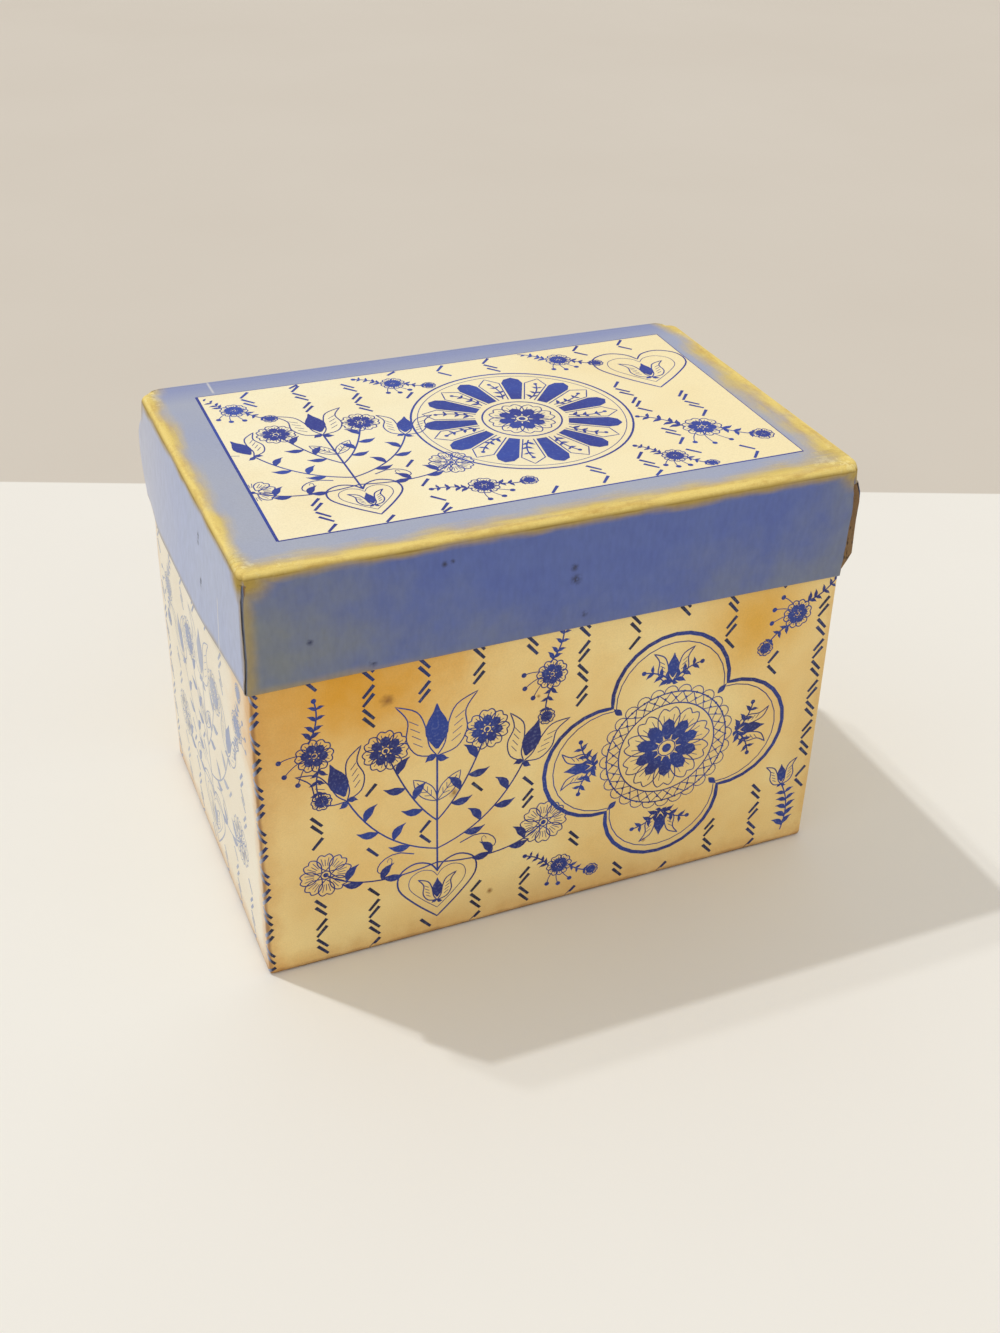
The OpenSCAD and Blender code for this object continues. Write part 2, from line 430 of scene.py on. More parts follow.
outer_x, outer_y, board_low = HALF_X - PAPER, HALF_Y - PAPER, 2 * PAPER
top = RIM_Z - PAPER
bm = bmesh.new()
board_panel(bm, (-outer_x, MID_Y - outer_y, board_low), (outer_x, MID_Y + outer_y, board_low + BOARD))
for side in (-1, 1):
    wall_y = sorted((MID_Y + side * outer_y, MID_Y + side * (outer_y - BOARD)))
    board_panel(bm, (-outer_x, wall_y[0], board_low + BOARD), (outer_x, wall_y[1], top))
    wall_x = sorted((side * outer_x, side * (outer_x - BOARD)))
    inner_y = outer_y - BOARD - 0.04
    board_panel(bm, (wall_x[0], MID_Y - inner_y, board_low + BOARD), (wall_x[1], MID_Y + inner_y, top))
turn_x, turn_y, board_r = HALF_X - CORNER_R, HALF_Y - CORNER_R, CORNER_R - PAPER - 0.03
for vert in bm.verts:
    dx, dy = abs(vert.co.x) - turn_x, abs(vert.co.y - MID_Y) - turn_y
    if dx > 0 and dy > 0 and math.hypot(dx, dy) > board_r:
        shrink = board_r / math.hypot(dx, dy)
        vert.co.x = math.copysign(turn_x + dx * shrink, vert.co.x)
        vert.co.y = MID_Y + math.copysign(turn_y + dy * shrink, vert.co.y - MID_Y)
tray_board = finish_board("tray_chipboard", bm, tray_sag)
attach(tray_board, "tray")
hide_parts("base_board")
print("tray board:", len(tray_board.data.polygons), "faces")

# %% [markdown]
# ## The lid's folds
# The lid's paper is one sheet too: the top, a flap down the front and one down each end.
# Each flap rolls over the top edge, hangs down, turns round the lower edge of the board
# and is glued up inside. At the four corners a small patch of the sheet is gathered round
# the corner. Below that patch the front corners have split, so the flaps end there, and
# the notch shows the edge of the board.
#
# The end flaps have sprung outward, most at the middle of their lower edge, because the
# split corners no longer hold them. At the back they are still held in.

# %% Lid sizes and fold
LID_X, LID_FRONT, LID_BACK, LID_TOP, SKIRT_Z = 70.3, -45.6, 45.6, 104.0, 76.5
FOLD_R, PATCH, PATCH_RIGHT, FLAP_PAST, PAST_END, TURN_R = 1.5, 3.2, 5.6, 2.2, 0.7, 0.5
A, FRONT_B, BACK_B = LID_X - FOLD_R, LID_FRONT + FOLD_R, LID_BACK - FOLD_R
SPLIT_Y = -43.9  # where the board of the right end shows, raw


def patch_size(u, v):
    """How far down the paper still goes round a corner; the front right one holds longest."""
    return PATCH_RIGHT if u > 0 and v < 0 else PATCH


ROLL_D = math.pi / 2 * FOLD_R
HEM_D = ROLL_D + (LID_TOP - SKIRT_Z) - FOLD_R - RIM_R
INSIDE_D = HEM_D + math.pi * RIM_R
END_D = INSIDE_D + TURN_IN
TAIL_V = LID_BACK - RIM_R
PANEL_LEFT, PANEL_RIGHT, PANEL_FRONT, PANEL_BACK, PANEL_SKEW = -58.9, 61.55, -34.73, 36.79, 0.0148
# how round each top corner has been knocked; the keys say whether it is right and whether back
KNOCKED = {(False, False): 2.2, (True, False): 4.4, (False, True): 4.6, (True, True): 5.5}


def knock_corner(x, y, z):
    """Rounds the lid's four top corners, as knocks have: a square corner goes to a quarter circle."""
    radius = KNOCKED[x > 0, y > 0]
    dx, dy = (abs(x) - LID_X + radius) / radius, (abs(y) - LID_BACK + radius) / radius
    if dx <= 0 or dy <= 0:
        return x, y, z
    fade = 1 - smooth(3, 10, LID_TOP - z)
    shrink = 1 + fade * (max(dx, dy) / math.hypot(dx, dy) - 1)
    x = math.copysign(LID_X - radius + dx * radius * shrink, x)
    y = math.copysign(LID_BACK - radius + dy * radius * shrink, y)
    return x, y, z - 0.2 * radius * min(dx, 1) ** 1.5 * min(dy, 1) ** 1.5 * fade


def skirt_section(d):
    """Outward and downward travel and the normal's parts, d mm past the fold's start."""
    if d < ROLL_D:
        a = d / FOLD_R
        return FOLD_R * math.sin(a), FOLD_R * (1 - math.cos(a)), math.sin(a), math.cos(a)
    if d < HEM_D:
        return FOLD_R, FOLD_R + d - ROLL_D, 1, 0
    a = (d - HEM_D) / RIM_R
    hem_drop = LID_TOP - SKIRT_Z - RIM_R
    if a < math.pi:
        return FOLD_R - RIM_R * (1 - math.cos(a)), hem_drop + RIM_R * math.sin(a), math.cos(a), -math.sin(a)
    return FOLD_R - 2 * RIM_R, hem_drop - RIM_R * (a - math.pi), -1, 0


def end_spring(side, x, y, drop, hang):
    """How far an end skirt has sprung out, drop mm under the top, hang of its height down."""
    if side < 0:
        spring = 0.35 + 1.6 * smooth(-44, -8, y) * (1 - smooth(22, 46, y))
        return spring * hang + 0.75 * smooth(20, 46, y) * math.sin(math.pi * min(hang, 1))
    spring = 1.35 + 0.25 * math.sin(math.pi * (y + 44) / 100) * hang - 1.1 * smooth(10, 46, y)
    # the raw end of the board has swelled, and its lower corner is crushed in
    swollen = 0.9 - 0.5 * smooth(6, 16, drop) - (1.5 + 0.8 * hang) * max(0, LID_X - PAPER - x)
    return spring * hang**0.8 + raw_edge(y, drop) * (swollen - 2.3 * smooth(23, 27.5, drop))


def raw_edge(y, drop):
    """1 at the raw edge of the right end's board, falling to 0 under its paper."""
    return smooth(-39.5, SPLIT_Y, y) * smooth(4.6, 5.6, drop)


def lid_sag(x, y, z):
    """How the lid has bent: knocked corners, sprung ends, a dipped top, a bowed front hem."""
    x, y, z = knock_corner(x, y, z)
    side, drop = (1 if x > 0 else -1), LID_TOP - z
    hang = min(max((drop - 1.5) / 25, 0), 1.1)
    if abs(x) > A + 0.1 and y > FRONT_B - 0.1:
        if side > 0:
            z += 0.7 * raw_edge(y, drop) * smooth(22, 27.5, drop)
        x += side * end_spring(side, x, y, drop, hang)
    elif y < FRONT_B + 0.1 and drop > 2.4:
        left = 0.3 - 0.25 * smooth(0.02, 0.2, hang) - 0.5 * smooth(0.7, 1.05, hang)
        x += smooth(50, 69, abs(x)) * (left if side < 0 else -0.7 * hang)
    if y < FRONT_B + 2:
        z += 0.42 * hang * math.cos(math.pi / 2 * min(abs(x) / 68, 1))
    if drop < 2.6:
        z -= 0.4 * (1 - min(abs(x) / 70, 1) ** 2) * (1 - min(abs(y) / 45, 1) ** 2)
    y -= smooth(36, 46, y) * smooth(101, 103.4, z) * (0.35 + 0.6 * smooth(20, 70, x))
    x = 0.98364 * x - 0.15
    ripple = 0.1 * noise.noise(Vector((x / 26, y / 22, z / 20 + 7)))
    if drop > 3:
        x_ripple = 0.16 + ripple - 0.1 if abs(x) < 60 else 0
        return Vector((x + x_ripple, y + (0.1 + ripple if y < FRONT_B + 0.1 else 0), z))
    # the paper is crumpled round the two front corners of the top
    near = math.hypot(max(0, 66 - abs(x)), max(0, 43 - abs(y)))
    crumple = -0.6 * (1 - smooth(0, 8, near)) * (1 - smooth(-10, 20, y))
    crumple *= abs(noise.noise(Vector((x / 1.9, y / 1.9, z / 2.4))))
    return Vector((x, y, min(z + ripple - 0.1 + 0.5 * crumple, LID_TOP)))


def lid_fold(u, v, lift=0):
    """The lid paper's outer face, lift mm off it."""
    side = 1 if u > 0 else -1
    s, front_t, back_t = abs(u) - A, FRONT_B - v, v - BACK_B
    t, end = (front_t, -1) if front_t > 0 else (back_t, 1)
    if s <= 0 and t <= 0:
        return lid_sag(u, v, LID_TOP + lift)
    base_x, base_y = max(-A, min(A, u)), max(FRONT_B, min(BACK_B, v))
    patch = patch_size(u, v)
    tail = back_t > PATCH - 1 and s > PATCH - 0.01
    past_end = v < 0 < t < PAST_END + 0.1 and s > patch - 0.01
    if s > 0 and (t <= 0 or s > patch + 0.01 or tail or past_end):
        out, down, n_out, n_up = skirt_section(s)
        x, y, z = side * (A + out + lift * n_out), v, LID_TOP - down + lift * n_up
        if v > TAIL_V:
            a = (v - TAIL_V) / RIM_R
            inner = A + out - 2 * RIM_R
            if a < math.pi:
                x = side * (inner + RIM_R + (RIM_R + lift) * math.cos(a))
                y = TAIL_V + (RIM_R + lift) * math.sin(a)
            else:
                x, y = side * (inner - lift), TAIL_V - RIM_R * (a - math.pi)
        torn = smooth(1.2, 0, v - FRONT_B) * smooth(0, 3, s - patch)
        return lid_sag(x, y + 0.35 * torn * noise.noise(Vector((side, 0, z * 0.7))), z)
    if t > 0 and (s <= 0 or t > patch + 0.01):
        out, down, n_out, n_up = skirt_section(t)
        torn = smooth(-1.2, 0, s) * smooth(0, 3, t - patch) if end < 0 else 0
        x, y = u, base_y + end * (out + lift * n_out)
        if s < 0.1:
            x += 0.35 * torn * noise.noise(Vector((side, 5, down * 0.7)))
        if s > TURN_R:
            # the left split: this flap turns in round the end of its board
            a = min((s - TURN_R) / TURN_R, math.pi / 2)
            x = -(A + TURN_R + (TURN_R + lift) * math.sin(a))
            y += (TURN_R + lift) * (1 - math.cos(a)) + max(0, s - TURN_R - TURN_R * math.pi / 2)
        return lid_sag(x, y, LID_TOP - down + lift * n_up)
    out, down, n_out, n_up = skirt_section(max(s, t))
    turn = math.pi / 4 * min(s, t) / max(s, t)
    along_x, along_y = (math.cos(turn), math.sin(turn)) if s > t else (math.sin(turn), math.cos(turn))
    reach = out + lift * n_out
    return lid_sag(
        base_x + side * along_x * reach, base_y + end * along_y * reach, LID_TOP - down + lift * n_up
    )


print("lid flaps: fold", round(ROLL_D, 2), "hem at", round(HEM_D, 2), "ends at", round(END_D, 2), "mm")

# %% [markdown]
# ## The lid's paper
# Its sheet is cut as a cross. Each ruled point also notes how far it lies from the folds,
# from the free edges and from the corners, because that is where hands rub a box and
# where its blue has gone. The paint of wear comes later, from those notes.

# %% Lid wrap
HINGE_HALF = 67.35


def lid_cut(u, v):
    """True for what is cut away from the lid's square sheet."""
    s, front_t, back_t = abs(u) - A, FRONT_B - v, v - BACK_B
    if front_t > 0:
        if u < 0 and (s > PATCH and front_t < PAST_END or s < FLAP_PAST and front_t > PATCH):
            return False
        return s > 0 and max(s, front_t) > patch_size(u, v)
    if u > 0 and s > PATCH_RIGHT and (v < FRONT_B + 0.5 or s > HEM_D - 3.5 and v < FRONT_B + 3.2):
        return True
    if back_t > 0 and s <= PATCH:
        return abs(u) < HINGE_HALF or back_t > PATCH - 1
    return s > HEM_D - 2 and v > TAIL_V


def lid_worn(u, v):
    """Signed share of the rubbed band at the top folds, and mm to a free edge and to a corner.

    The band reaches 6.5 mm on to the top at the right end, 5 at the front and 3.5 at the
    left, but only 1.8 mm down the skirts. It is negative on the top.
    """
    s, t, middle = abs(u) - A, FRONT_B - v, ROLL_D / 2
    end_reach = 3.3 if u < 0 else 6.5 - 2 * smooth(-10, 40, v)
    front_reach = 4.2 + 1.2 * smooth(-60, 50, u)
    corner = math.hypot(s - middle, (t if t > 0 else min(-t, abs(BACK_B - v))) + 0.5)
    if max(s, t) <= middle:
        return -min((middle - s) / end_reach, (middle - t) / front_reach), 99, corner
    if s >= t or (u < 0 and t <= 0):
        return (
            (s - middle) / 1.8,
            min(abs(HEM_D + 1 - s), 2.5 * abs(v - FRONT_B + (PAST_END if u < 0 else 0)) + 0.3),
            corner,
        )
    if s > 1.2:
        return (t - middle) / 1.8, 99, 99
    return (
        (t - middle) / 1.8,
        min(abs(HEM_D + 1 - t), abs(s - (0.6 if u < 0 else 0)) + 0.2),
        math.hypot(t - middle, s - 0.5),
    )


FINE = 0.3
right_us = [(0, 2.0), (A - 8, 0.8), (A - 2, FINE), (A, FINE), (A + FLAP_PAST, FINE), (A + PATCH, 0.4)]
right_us += [(A + PATCH_RIGHT, 0.8), (A + 9, 2.0), (A + HEM_D, 0.25), (A + INSIDE_D, 2.0), (A + END_D, 0)]
right_us = ruled(*right_us)
us = [-u for u in reversed(right_us[1:])] + right_us
vs = [(FRONT_B - END_D, 2.0), (FRONT_B - INSIDE_D, 0.25), (FRONT_B - HEM_D, 2.0), (FRONT_B - 9, 0.8)]
vs += [(FRONT_B - PATCH_RIGHT, 0.4), (FRONT_B - PATCH, FINE), (FRONT_B - PAST_END, 0.35), (FRONT_B, FINE)]
vs += [(FRONT_B + 2, 0.8), (FRONT_B + 8, 2.0), (BACK_B - 6, 0.6), (BACK_B, FINE), (TAIL_V, 0.2)]
vs = ruled(*vs, (BACK_B + PATCH, 0.4), (TAIL_V + RIM_R * math.pi + 5, 0))
lid_wrap = thicken(folded_sheet("lid_paper", us, vs, lid_fold, lid_worn, lid_cut), PAPER)
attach(lid_wrap, "lid")
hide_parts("lid_wrap")
print("lid wrap:", len(us), "by", len(vs), "ruled lines,", len(lid_wrap.data.polygons), "faces")

# %% Lid board
bm = bmesh.new()
board_x, board_front, board_back = LID_X - PAPER, LID_FRONT + PAPER, LID_BACK - PAPER
under, over, hem = LID_TOP - PAPER - BOARD, LID_TOP - PAPER, SKIRT_Z + PAPER
board_panel(bm, (1 - board_x, board_front + 1, under), (board_x - 1, board_back, over - 0.2))
board_panel(
    bm, (-(board_x - 0.65), board_front, hem), (board_x - 1.15, board_front + BOARD, over - 1.1), step=5
)
for side in (-1, 1):
    ends = sorted((side * board_x, side * (board_x - BOARD)))
    torn_back = SPLIT_Y if side > 0 else SPLIT_Y + 2.2
    board_panel(bm, (ends[0], torn_back, hem), (ends[1], board_back, over - 1.1), step=2.2)
lid_board = finish_board("lid_chipboard", bm, lid_sag)
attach(lid_board, "lid")
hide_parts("lid_board")
print("lid board:", len(lid_board.data.polygons), "faces")

# %% [markdown]
# ## The hinge
# The lid's paper does not stop at its back edge. It goes on over the edge and down the
# tray's back, where it is glued as a flap, with a strip of kraft paper under it. Both
# cross the gap between tray and lid: below the gap their shape follows the tray's bent
# walls, above it the lid's, and over the half millimetre between them the two shapes
# blend smoothly.

# %% Hinge paper and strip
FLAP_LOW, HINGE_R, HINGE_START, HINGE_END = RIM_Z - 27.5, 1.2, 102.3, 103.1
HINGE_V = LID_BACK - HINGE_R  # where on the lid's sheet this roll starts


def hinge_fold(under_by):
    """A fold over the lid's back edge and down the tray's back, under_by mm further in."""

    def fold(u, v, lift=0):
        r = HINGE_R
        v -= HINGE_V
        a = v / r
        if v < 0:
            y, z, n_y, n_z = LID_BACK - r + v, LID_TOP, 0, 1
        elif a < math.pi / 2:
            y, z = LID_BACK - r + r * math.sin(a), LID_TOP - r + r * math.cos(a)
            n_y, n_z = math.sin(a), math.cos(a)
        else:
            y, z, n_y, n_z = LID_BACK, LID_TOP - r - (v - r * math.pi / 2), 1, 0
        y, z = y + n_y * (lift - under_by), z + n_z * (lift - under_by)
        on_lid = smooth(HINGE_START + 0.2, HINGE_END - 0.1, z)
        return lid_sag(u, y, z) * on_lid + tray_sag(u, y, z) * (1 - on_lid)

    return fold


def hinge_worn(u, v):
    """Notes on wear as lid_worn gives them; no note is small enough for the blue to be gone."""
    end, down = HINGE_HALF - abs(u), v - HINGE_V
    from_roll = down - HINGE_R
    return abs(from_roll) / 1.5 + 1.3, min(end, flap_end - down) + 0.6, math.hypot(end, from_roll) + 1.5


roll = HINGE_R * math.pi / 2
to_gap = roll + LID_TOP - HINGE_R - HINGE_END
flap_end = roll + LID_TOP - HINGE_R - FLAP_LOW
hinge_us = ruled((-HINGE_HALF, 2.0), (HINGE_HALF, 0))
downs = ruled(
    (BACK_B - LID_BACK + HINGE_R, 0.25), (to_gap, 0.08), (to_gap + 0.9, 1.0), (to_gap + 4, 2.0), (flap_end, 0)
)
strip_downs = ruled(
    (-13, 2.0), (0, 0.25), (to_gap, 0.08), (to_gap + 0.9, 1.0), (to_gap + 4, 2.0), (to_gap + 14, 0)
)
hinge_paper = folded_sheet("hinge_paper", hinge_us, [HINGE_V + d for d in downs], hinge_fold(0), hinge_worn)
hinge_strip = folded_sheet("hinge_kraft", hinge_us, [HINGE_V + d for d in strip_downs], hinge_fold(PAPER))
for piece, nodes, slot in (
    (hinge_paper, ["back_flap"], "blue_paper"),
    (hinge_strip, ["hinge_strip_tray", "hinge_strip_lid"], "stay_paper"),
):
    thicken(piece, PAPER * 0.95)
    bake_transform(piece)
    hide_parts(*nodes)
print("hinge paper:", len(hinge_paper.data.polygons), "faces; strip:", len(hinge_strip.data.polygons))

# %% Corner stays
def stay_sheet(name, us, vs, fold, body):
    """A strip of kraft paper pressed flush into the board's outside."""
    strip = thicken(folded_sheet(name, us, vs, lambda u, v, lift=0: fold(u, v, lift - PAPER)), PAPER)
    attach(strip, body)
    stays.append(strip)
    return strip


STAY_W, stays = 12.0, []
heights = ruled((WALL_LOW, 3.0), (WALL_HIGH, 0))
for name, at in zip(("front_left", "front_right", "back_right", "back_left"), CORNERS):
    across = ruled((at - STAY_W, 2.0), (at - 1, 0.3), (at + 1, 2.0), (at + STAY_W, 0))
    stay = stay_sheet("tray_stay_" + name, across, heights, tray_fold, "tray")
    if name == "front_left":
        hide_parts("base_corner_stays")
for side, name, first, last, start in ((-1, "left", PATCH, HEM_D, 2.4), (1, "right", PATCH_RIGHT, HEM_D - 3, 0.3)):
    drops = ruled((first, 2.0), (last, 0))
    along = ruled((SPLIT_Y + start, 2.0), (FRONT_B + STAY_W, 0))
    end_us = sorted(side * (A + d) for d in drops)
    end_stay = stay_sheet("lid_stay_end_" + name, end_us, along, lid_fold, "lid")
    inward = sorted((side * (A - 0.2), side * (A - STAY_W)))
    front_us, front_vs = ruled((inward[0], 2.0), (inward[1], 0)), [FRONT_B - d for d in reversed(drops)]
    stay_sheet("lid_stay_front_" + name, front_us, front_vs, lid_fold, "lid")
    if name == "left":
        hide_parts("lid_corner_stays")
print("stays: four on the tray, four halves on the lid")

# %% Bottom paper
BOTTOM_X, BOTTOM_Y = 66.85, 42.725


def bottom_fold(u, v, lift=0):
    """The bottom paper lies flat on the table, its printed side down and rubbed level."""
    return Vector((-u, MID_Y + v, -lift))


bottom_us, bottom_vs = (ruled((-half, 4.0), (half, 0)) for half in (BOTTOM_X, BOTTOM_Y))
bottom_paper = folded_sheet("bottom_sheet", bottom_us, bottom_vs, bottom_fold)
thicken(bottom_paper, PAPER)
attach(bottom_paper, "tray")
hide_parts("bottom_paper")

# %% [markdown]
# ## The lid's paper as a material
# The lid is covered with coated paper: cream stock, printed all over in periwinkle blue
# but for a cream panel on top. It was offset printed, so the ink is thin. Where hands
# rubbed the folds it has gone and the yellowed stock shows; next to that, ink and dirt
# make a dull ochre. Handling has also turned the blue of the skirts greener and greyer
# toward the corners, and light has bleached the top.
#
# The pattern follows the sheet, not space, so it reads the flat ruling ("sheet", in mm)
# and the notes on wear ("worn"). Clouds of fading are about 35 mm across and blotches
# 6 mm, as on the real lid; paper fibres are 0.3 mm.

# %% Blue coated paper
# dark marks on the front skirt and the left end: u, v and radius on the sheet
SCUFFS = [(-28.5, -50.5, 0.9), (-26.8, -50.2, 0.7), (-57.0, -62.5, 1.0), (-44.0, -70.5, 1.2), (0.5, -57.0, 1.2)]
SCUFFS += [(1.0, -60.0, 1.7), (3.5, -69.0, 1.0)]
SCUFFS += [(u - step, v, 0.95) for u, v in ((-77.2, -13.4), (-86.9, -15.2)) for step in (0, 0.8, 1.6)]
# pale creases: whether v is fixed, at what value, and from where to where the other one runs
CREASES = [(False, -54.0, 37.5, 45.0), (True, -27.5, -84.0, -110.0)]


def blue_paper():
    material, add = new_material("coated cream paper printed blue")
    place, sheet, flat, worn = paper_places(add)
    u, v = flat["X"], flat["Y"]
    to_fold, to_edge, to_corner = worn["X"], worn["Y"], worn["Z"]
    off_fold = add("Math.ABSOLUTE", [to_fold])
    cloud = add("TexNoise", [place, 28, 3, 0.55])
    blotch = add("TexNoise", [place, 165, 5, 0.62])
    speck = add("TexNoise", [place, 900, 3])
    fibre = add("TexNoise", [place, 3300, 2])

    # how far each kind of wear has gone
    at_front = add("MapRange", [v, -36, -40])
    along = add("Mix.VECTOR", [at_front, (1.7, 0.3, 1.7), (0.3, 1.7, 1.7)])
    streaky = add("VectorMath.MULTIPLY", [place, along])
    streak = add("TexNoise", [streaky, 260, 4, 0.6])
    wander = add("TexNoise", [place, 75, 2])
    ragged = add("Math.MULTIPLY_ADD", [wander, 1.7, -1.25])
    ragged = add("Math.MULTIPLY_ADD", [streak, 1, add("Math.SUBTRACT", [ragged, 0.15])])
    reach = add("Math.ADD", [off_fold, ragged])
    rubbed = add("MapRange.SMOOTHSTEP", [reach, 0.15, 1.5, 1, 0])
    corner_at = add("Math.MULTIPLY_ADD", [ragged, 2.6, to_corner])
    at_corner = add("MapRange.SMOOTHSTEP", [corner_at, 1.5, 7.5, 1, 0])
    edge_at = add("Math.MULTIPLY_ADD", [ragged, 1.4, to_edge])
    edge_at = add("Math.ADD", [edge_at, add("MapRange", [u, -52, -10, 0, 2.2])])
    at_edge = add("MapRange.SMOOTHSTEP", [edge_at, 0, 2.8, 0.6, 0])
    rubbed = add("Math.MAXIMUM", [add("Math.MAXIMUM", [rubbed, at_corner]), at_edge])

    # the printed blue, bleached on top and dulled in clouds on the skirts
    up = add("SeparateXYZ", [place]).node.outputs["Z"]
    on_top = add("MapRange", [up, 0.1022, 0.1036])
    skirt_fresh = add("Mix.RGBA", [blotch, "#4A5CA6", "#5D70AE"])
    left_side = add("MapRange", [u, -10, -69, -0.3, 0.3])
    right_side = add("MapRange", [u, 30, 69, -0.3, 0.22])
    lower = add("MapRange", [v, -48, -71, -0.15, 0.2])
    outward = add("Math.ADD", [add("Math.MAXIMUM", [left_side, right_side]), lower])
    dulled = add("Math.MULTIPLY_ADD", [blotch, 0.6, outward])
    dulled = add("Math.MULTIPLY_ADD", [cloud, 1.3, dulled])
    dulled = add("MapRange.SMOOTHSTEP", [dulled, 0.55, 1.75])
    skirt = add("Mix.RGBA", [dulled, skirt_fresh, "#7A8082"])
    # painted sheen: the left end's blue is painted much paler than the front skirt's, and paler still toward the
    # back, for the bright room reflected in it at a grazing angle
    left_end = add("Mix.RGBA", [cloud, "#A0ADDC", "#BAC3D9"])
    toward_back = add("MapRange", [v, 0, 40, 0, 0.8])
    left_end = add("Mix.RGBA", [toward_back, left_end, "#C6CADB"])
    left_sheen_mask = add("MapRange", [u, -70, -71])
    skirt = add("Mix.RGBA", [left_sheen_mask, skirt, left_end])
    top = add("Mix.RGBA", [cloud, "#93A0CB", "#B5B8BD"])
    at_back = add("MapRange", [v, 34, 42, 0, 0.7])
    top = add("Mix.RGBA", [at_back, top, "#7F8BC0"])
    blue = add("Mix.RGBA", [on_top, skirt, top])

    # the stock under it: yellow, with a painted highlight that makes it brightest on the ridge of the fold, and
    # ochre where dirt has gone in
    off_ridge = add("MapRange", [off_fold, 0.05, 0.75])
    stock = add("Mix.RGBA", [off_ridge, "#F5DC82", "#D9BF66"])
    dirt = add("Math.MULTIPLY_ADD", [speck, 0.25, add("Math.MULTIPLY", [streak, 0.75])])
    dirt = add("MapRange", [dirt, 0.45, 0.68, 0, 0.8])
    stock = add("Mix.RGBA", [dirt, stock, "#C9A24A"])
    near_corner = add("MapRange", [to_corner, 3, 17, 0.9, 0])
    flakes = add("MapRange", [add("Math.ADD", [speck, blotch]), 1.02, 1.12])
    flakes = add("Math.MULTIPLY", [flakes, near_corner])
    stock = add("Mix.RGBA", [flakes, stock, "#F9E596"])
    below = add("MapRange", [to_fold, -0.1, 0.45, 0, 0.85])
    stock = add("Mix.RGBA", [below, stock, "#A88D3E"])
    colour = add("Mix.RGBA", [rubbed, blue, stock])
    crease = add("Math.ABSOLUTE", [add("Math.SUBTRACT", [to_fold, 0.42])])
    crease = add("Math.MULTIPLY_ADD", [streak, 0.5, crease])
    crease = add("MapRange", [crease, 0.2, 0.36, 0.65, 0])
    colour = add("Mix.RGBA", [crease, colour, "#86692E"])

    # the cream panel, printed a little askew
    skewed = add("Math.MULTIPLY_ADD", [v, -PANEL_SKEW, u])
    inside = None
    for value, at, low, high in (
        (skewed, PANEL_LEFT, 0, 1),
        (skewed, PANEL_RIGHT, 1, 0),
        (v, PANEL_FRONT, 0, 1),
        (v, PANEL_BACK, 1, 0),
    ):
        ramp = add("MapRange", [value, at - 0.04, at + 0.04, low, high])
        inside = add("Math.MULTIPLY", [inside, ramp]) if inside else ramp
    inside = add("Math.MULTIPLY", [inside, on_top])
    warm = add("MapRange", [u, -30, 55])
    cream = add("Mix.RGBA", [warm, "#FFF5D0", "#FDEDBC"])
    tan = add("MapRange", [cloud, 0.48, 0.8, 0, 0.5])
    cream = add("Mix.RGBA", [tan, cream, "#F4DA9C"])
    colour = add("Mix.RGBA", [inside, colour, cream])

    # scuffs, and two pale creases
    scuffs = None
    for spot_u, spot_v, size in SCUFFS:
        gap = add("VectorMath.DISTANCE", [sheet, (spot_u, spot_v, 0)])
        dark = add("MapRange", [gap, size * 0.15, size, 1, 0])
        scuffs = add("Math.MAXIMUM", [scuffs, dark]) if scuffs else dark
    broken = add("MapRange", [speck, 0.36, 0.56])
    scuffs = add("Math.MULTIPLY", [scuffs, broken])
    colour = add("Mix.RGBA", [scuffs, colour, "#2C3358"])
    for fixed_v, at, start, end in CREASES:
        off = add("Math.ABSOLUTE", [add("Math.SUBTRACT", [v if fixed_v else u, at])])
        pale = add("MapRange", [off, 0.1, 0.4, 0.7, 0])
        way = math.copysign(1, end - start)
        for edge, inward in ((start, way), (end, -way)):
            past = add("MapRange", [u if fixed_v else v, edge, edge + inward])
            pale = add("Math.MULTIPLY", [pale, past])
        colour = add("Mix.RGBA", [pale, colour, "#DFDEDC"])
    combed = add("VectorMath.MULTIPLY", [place, (1, 1, 0.35)])
    combed = add("TexNoise", [combed, 950, 2])
    fine = add("Mix.FLOAT", [on_top, combed, fibre])
    grain = add("MapRange", [fine, 0.3, 0.7, 0.94, 1.05])
    colour = add("Mix.RGBA", [1, colour, grain], blend_type="MULTIPLY")

    # fibres, and cracked paper where it was rubbed
    cracks = add("TexVoronoi", {"Vector": streaky, "Scale": 420}, feature="DISTANCE_TO_EDGE")
    cracks = add("MapRange", [cracks, 0, 0.12, 0, 0.5])
    cracks = add("Math.MULTIPLY", [add("Math.ADD", [cracks, flakes]), rubbed])
    height = add("Math.MULTIPLY_ADD", [fibre, 0.25, cracks])
    height = add("Math.MULTIPLY_ADD", [blotch, 1.2, height])
    rough = add("MapRange", [rubbed, 0, 1, 0.46, 0.78])
    finish_material(add, colour, rough, height, 0.55, 0.00012)
    return material


blue_coated = blue_paper()
for piece in (lid_wrap, hinge_paper):
    piece.data.materials.append(blue_coated)
print("blue paper:", len(blue_coated.node_tree.nodes), "nodes")

# %% [markdown]
# ## The tray's paper as a material
# The tray has the same coated stock, printed in line work only, and it has yellowed
# unevenly: orange-brown where the lid's edge traps hands and damp, brown along the
# upright corners and the bottom. Its left end is painted paler, a painted sheen for the
# bright room reflected in it at a grazing angle.
# Each stain is a soft ellipse on the flat sheet, its border broken up by noise.

# %% Cream coated paper
STAINS = [  # u, v, half width, half height, strength, colour
    (20.0, 75.0, 44.0, 31.0, 1.0, "#E3A21A"),
    (6.0, 60.0, 12.0, 34.0, 0.5, "#DCA24A"),
    (117.0, 69.0, 20.0, 21.0, 0.85, "#E4A91C"),
    (70.0, 5.0, 62.0, 9.0, 0.45, "#D8AE68"),
    (134.0, 30.0, 8.0, 50.0, 0.35, "#D9A850"),
    (10.0, 22.0, 14.0, 18.0, 0.35, "#D9A95A"),
]
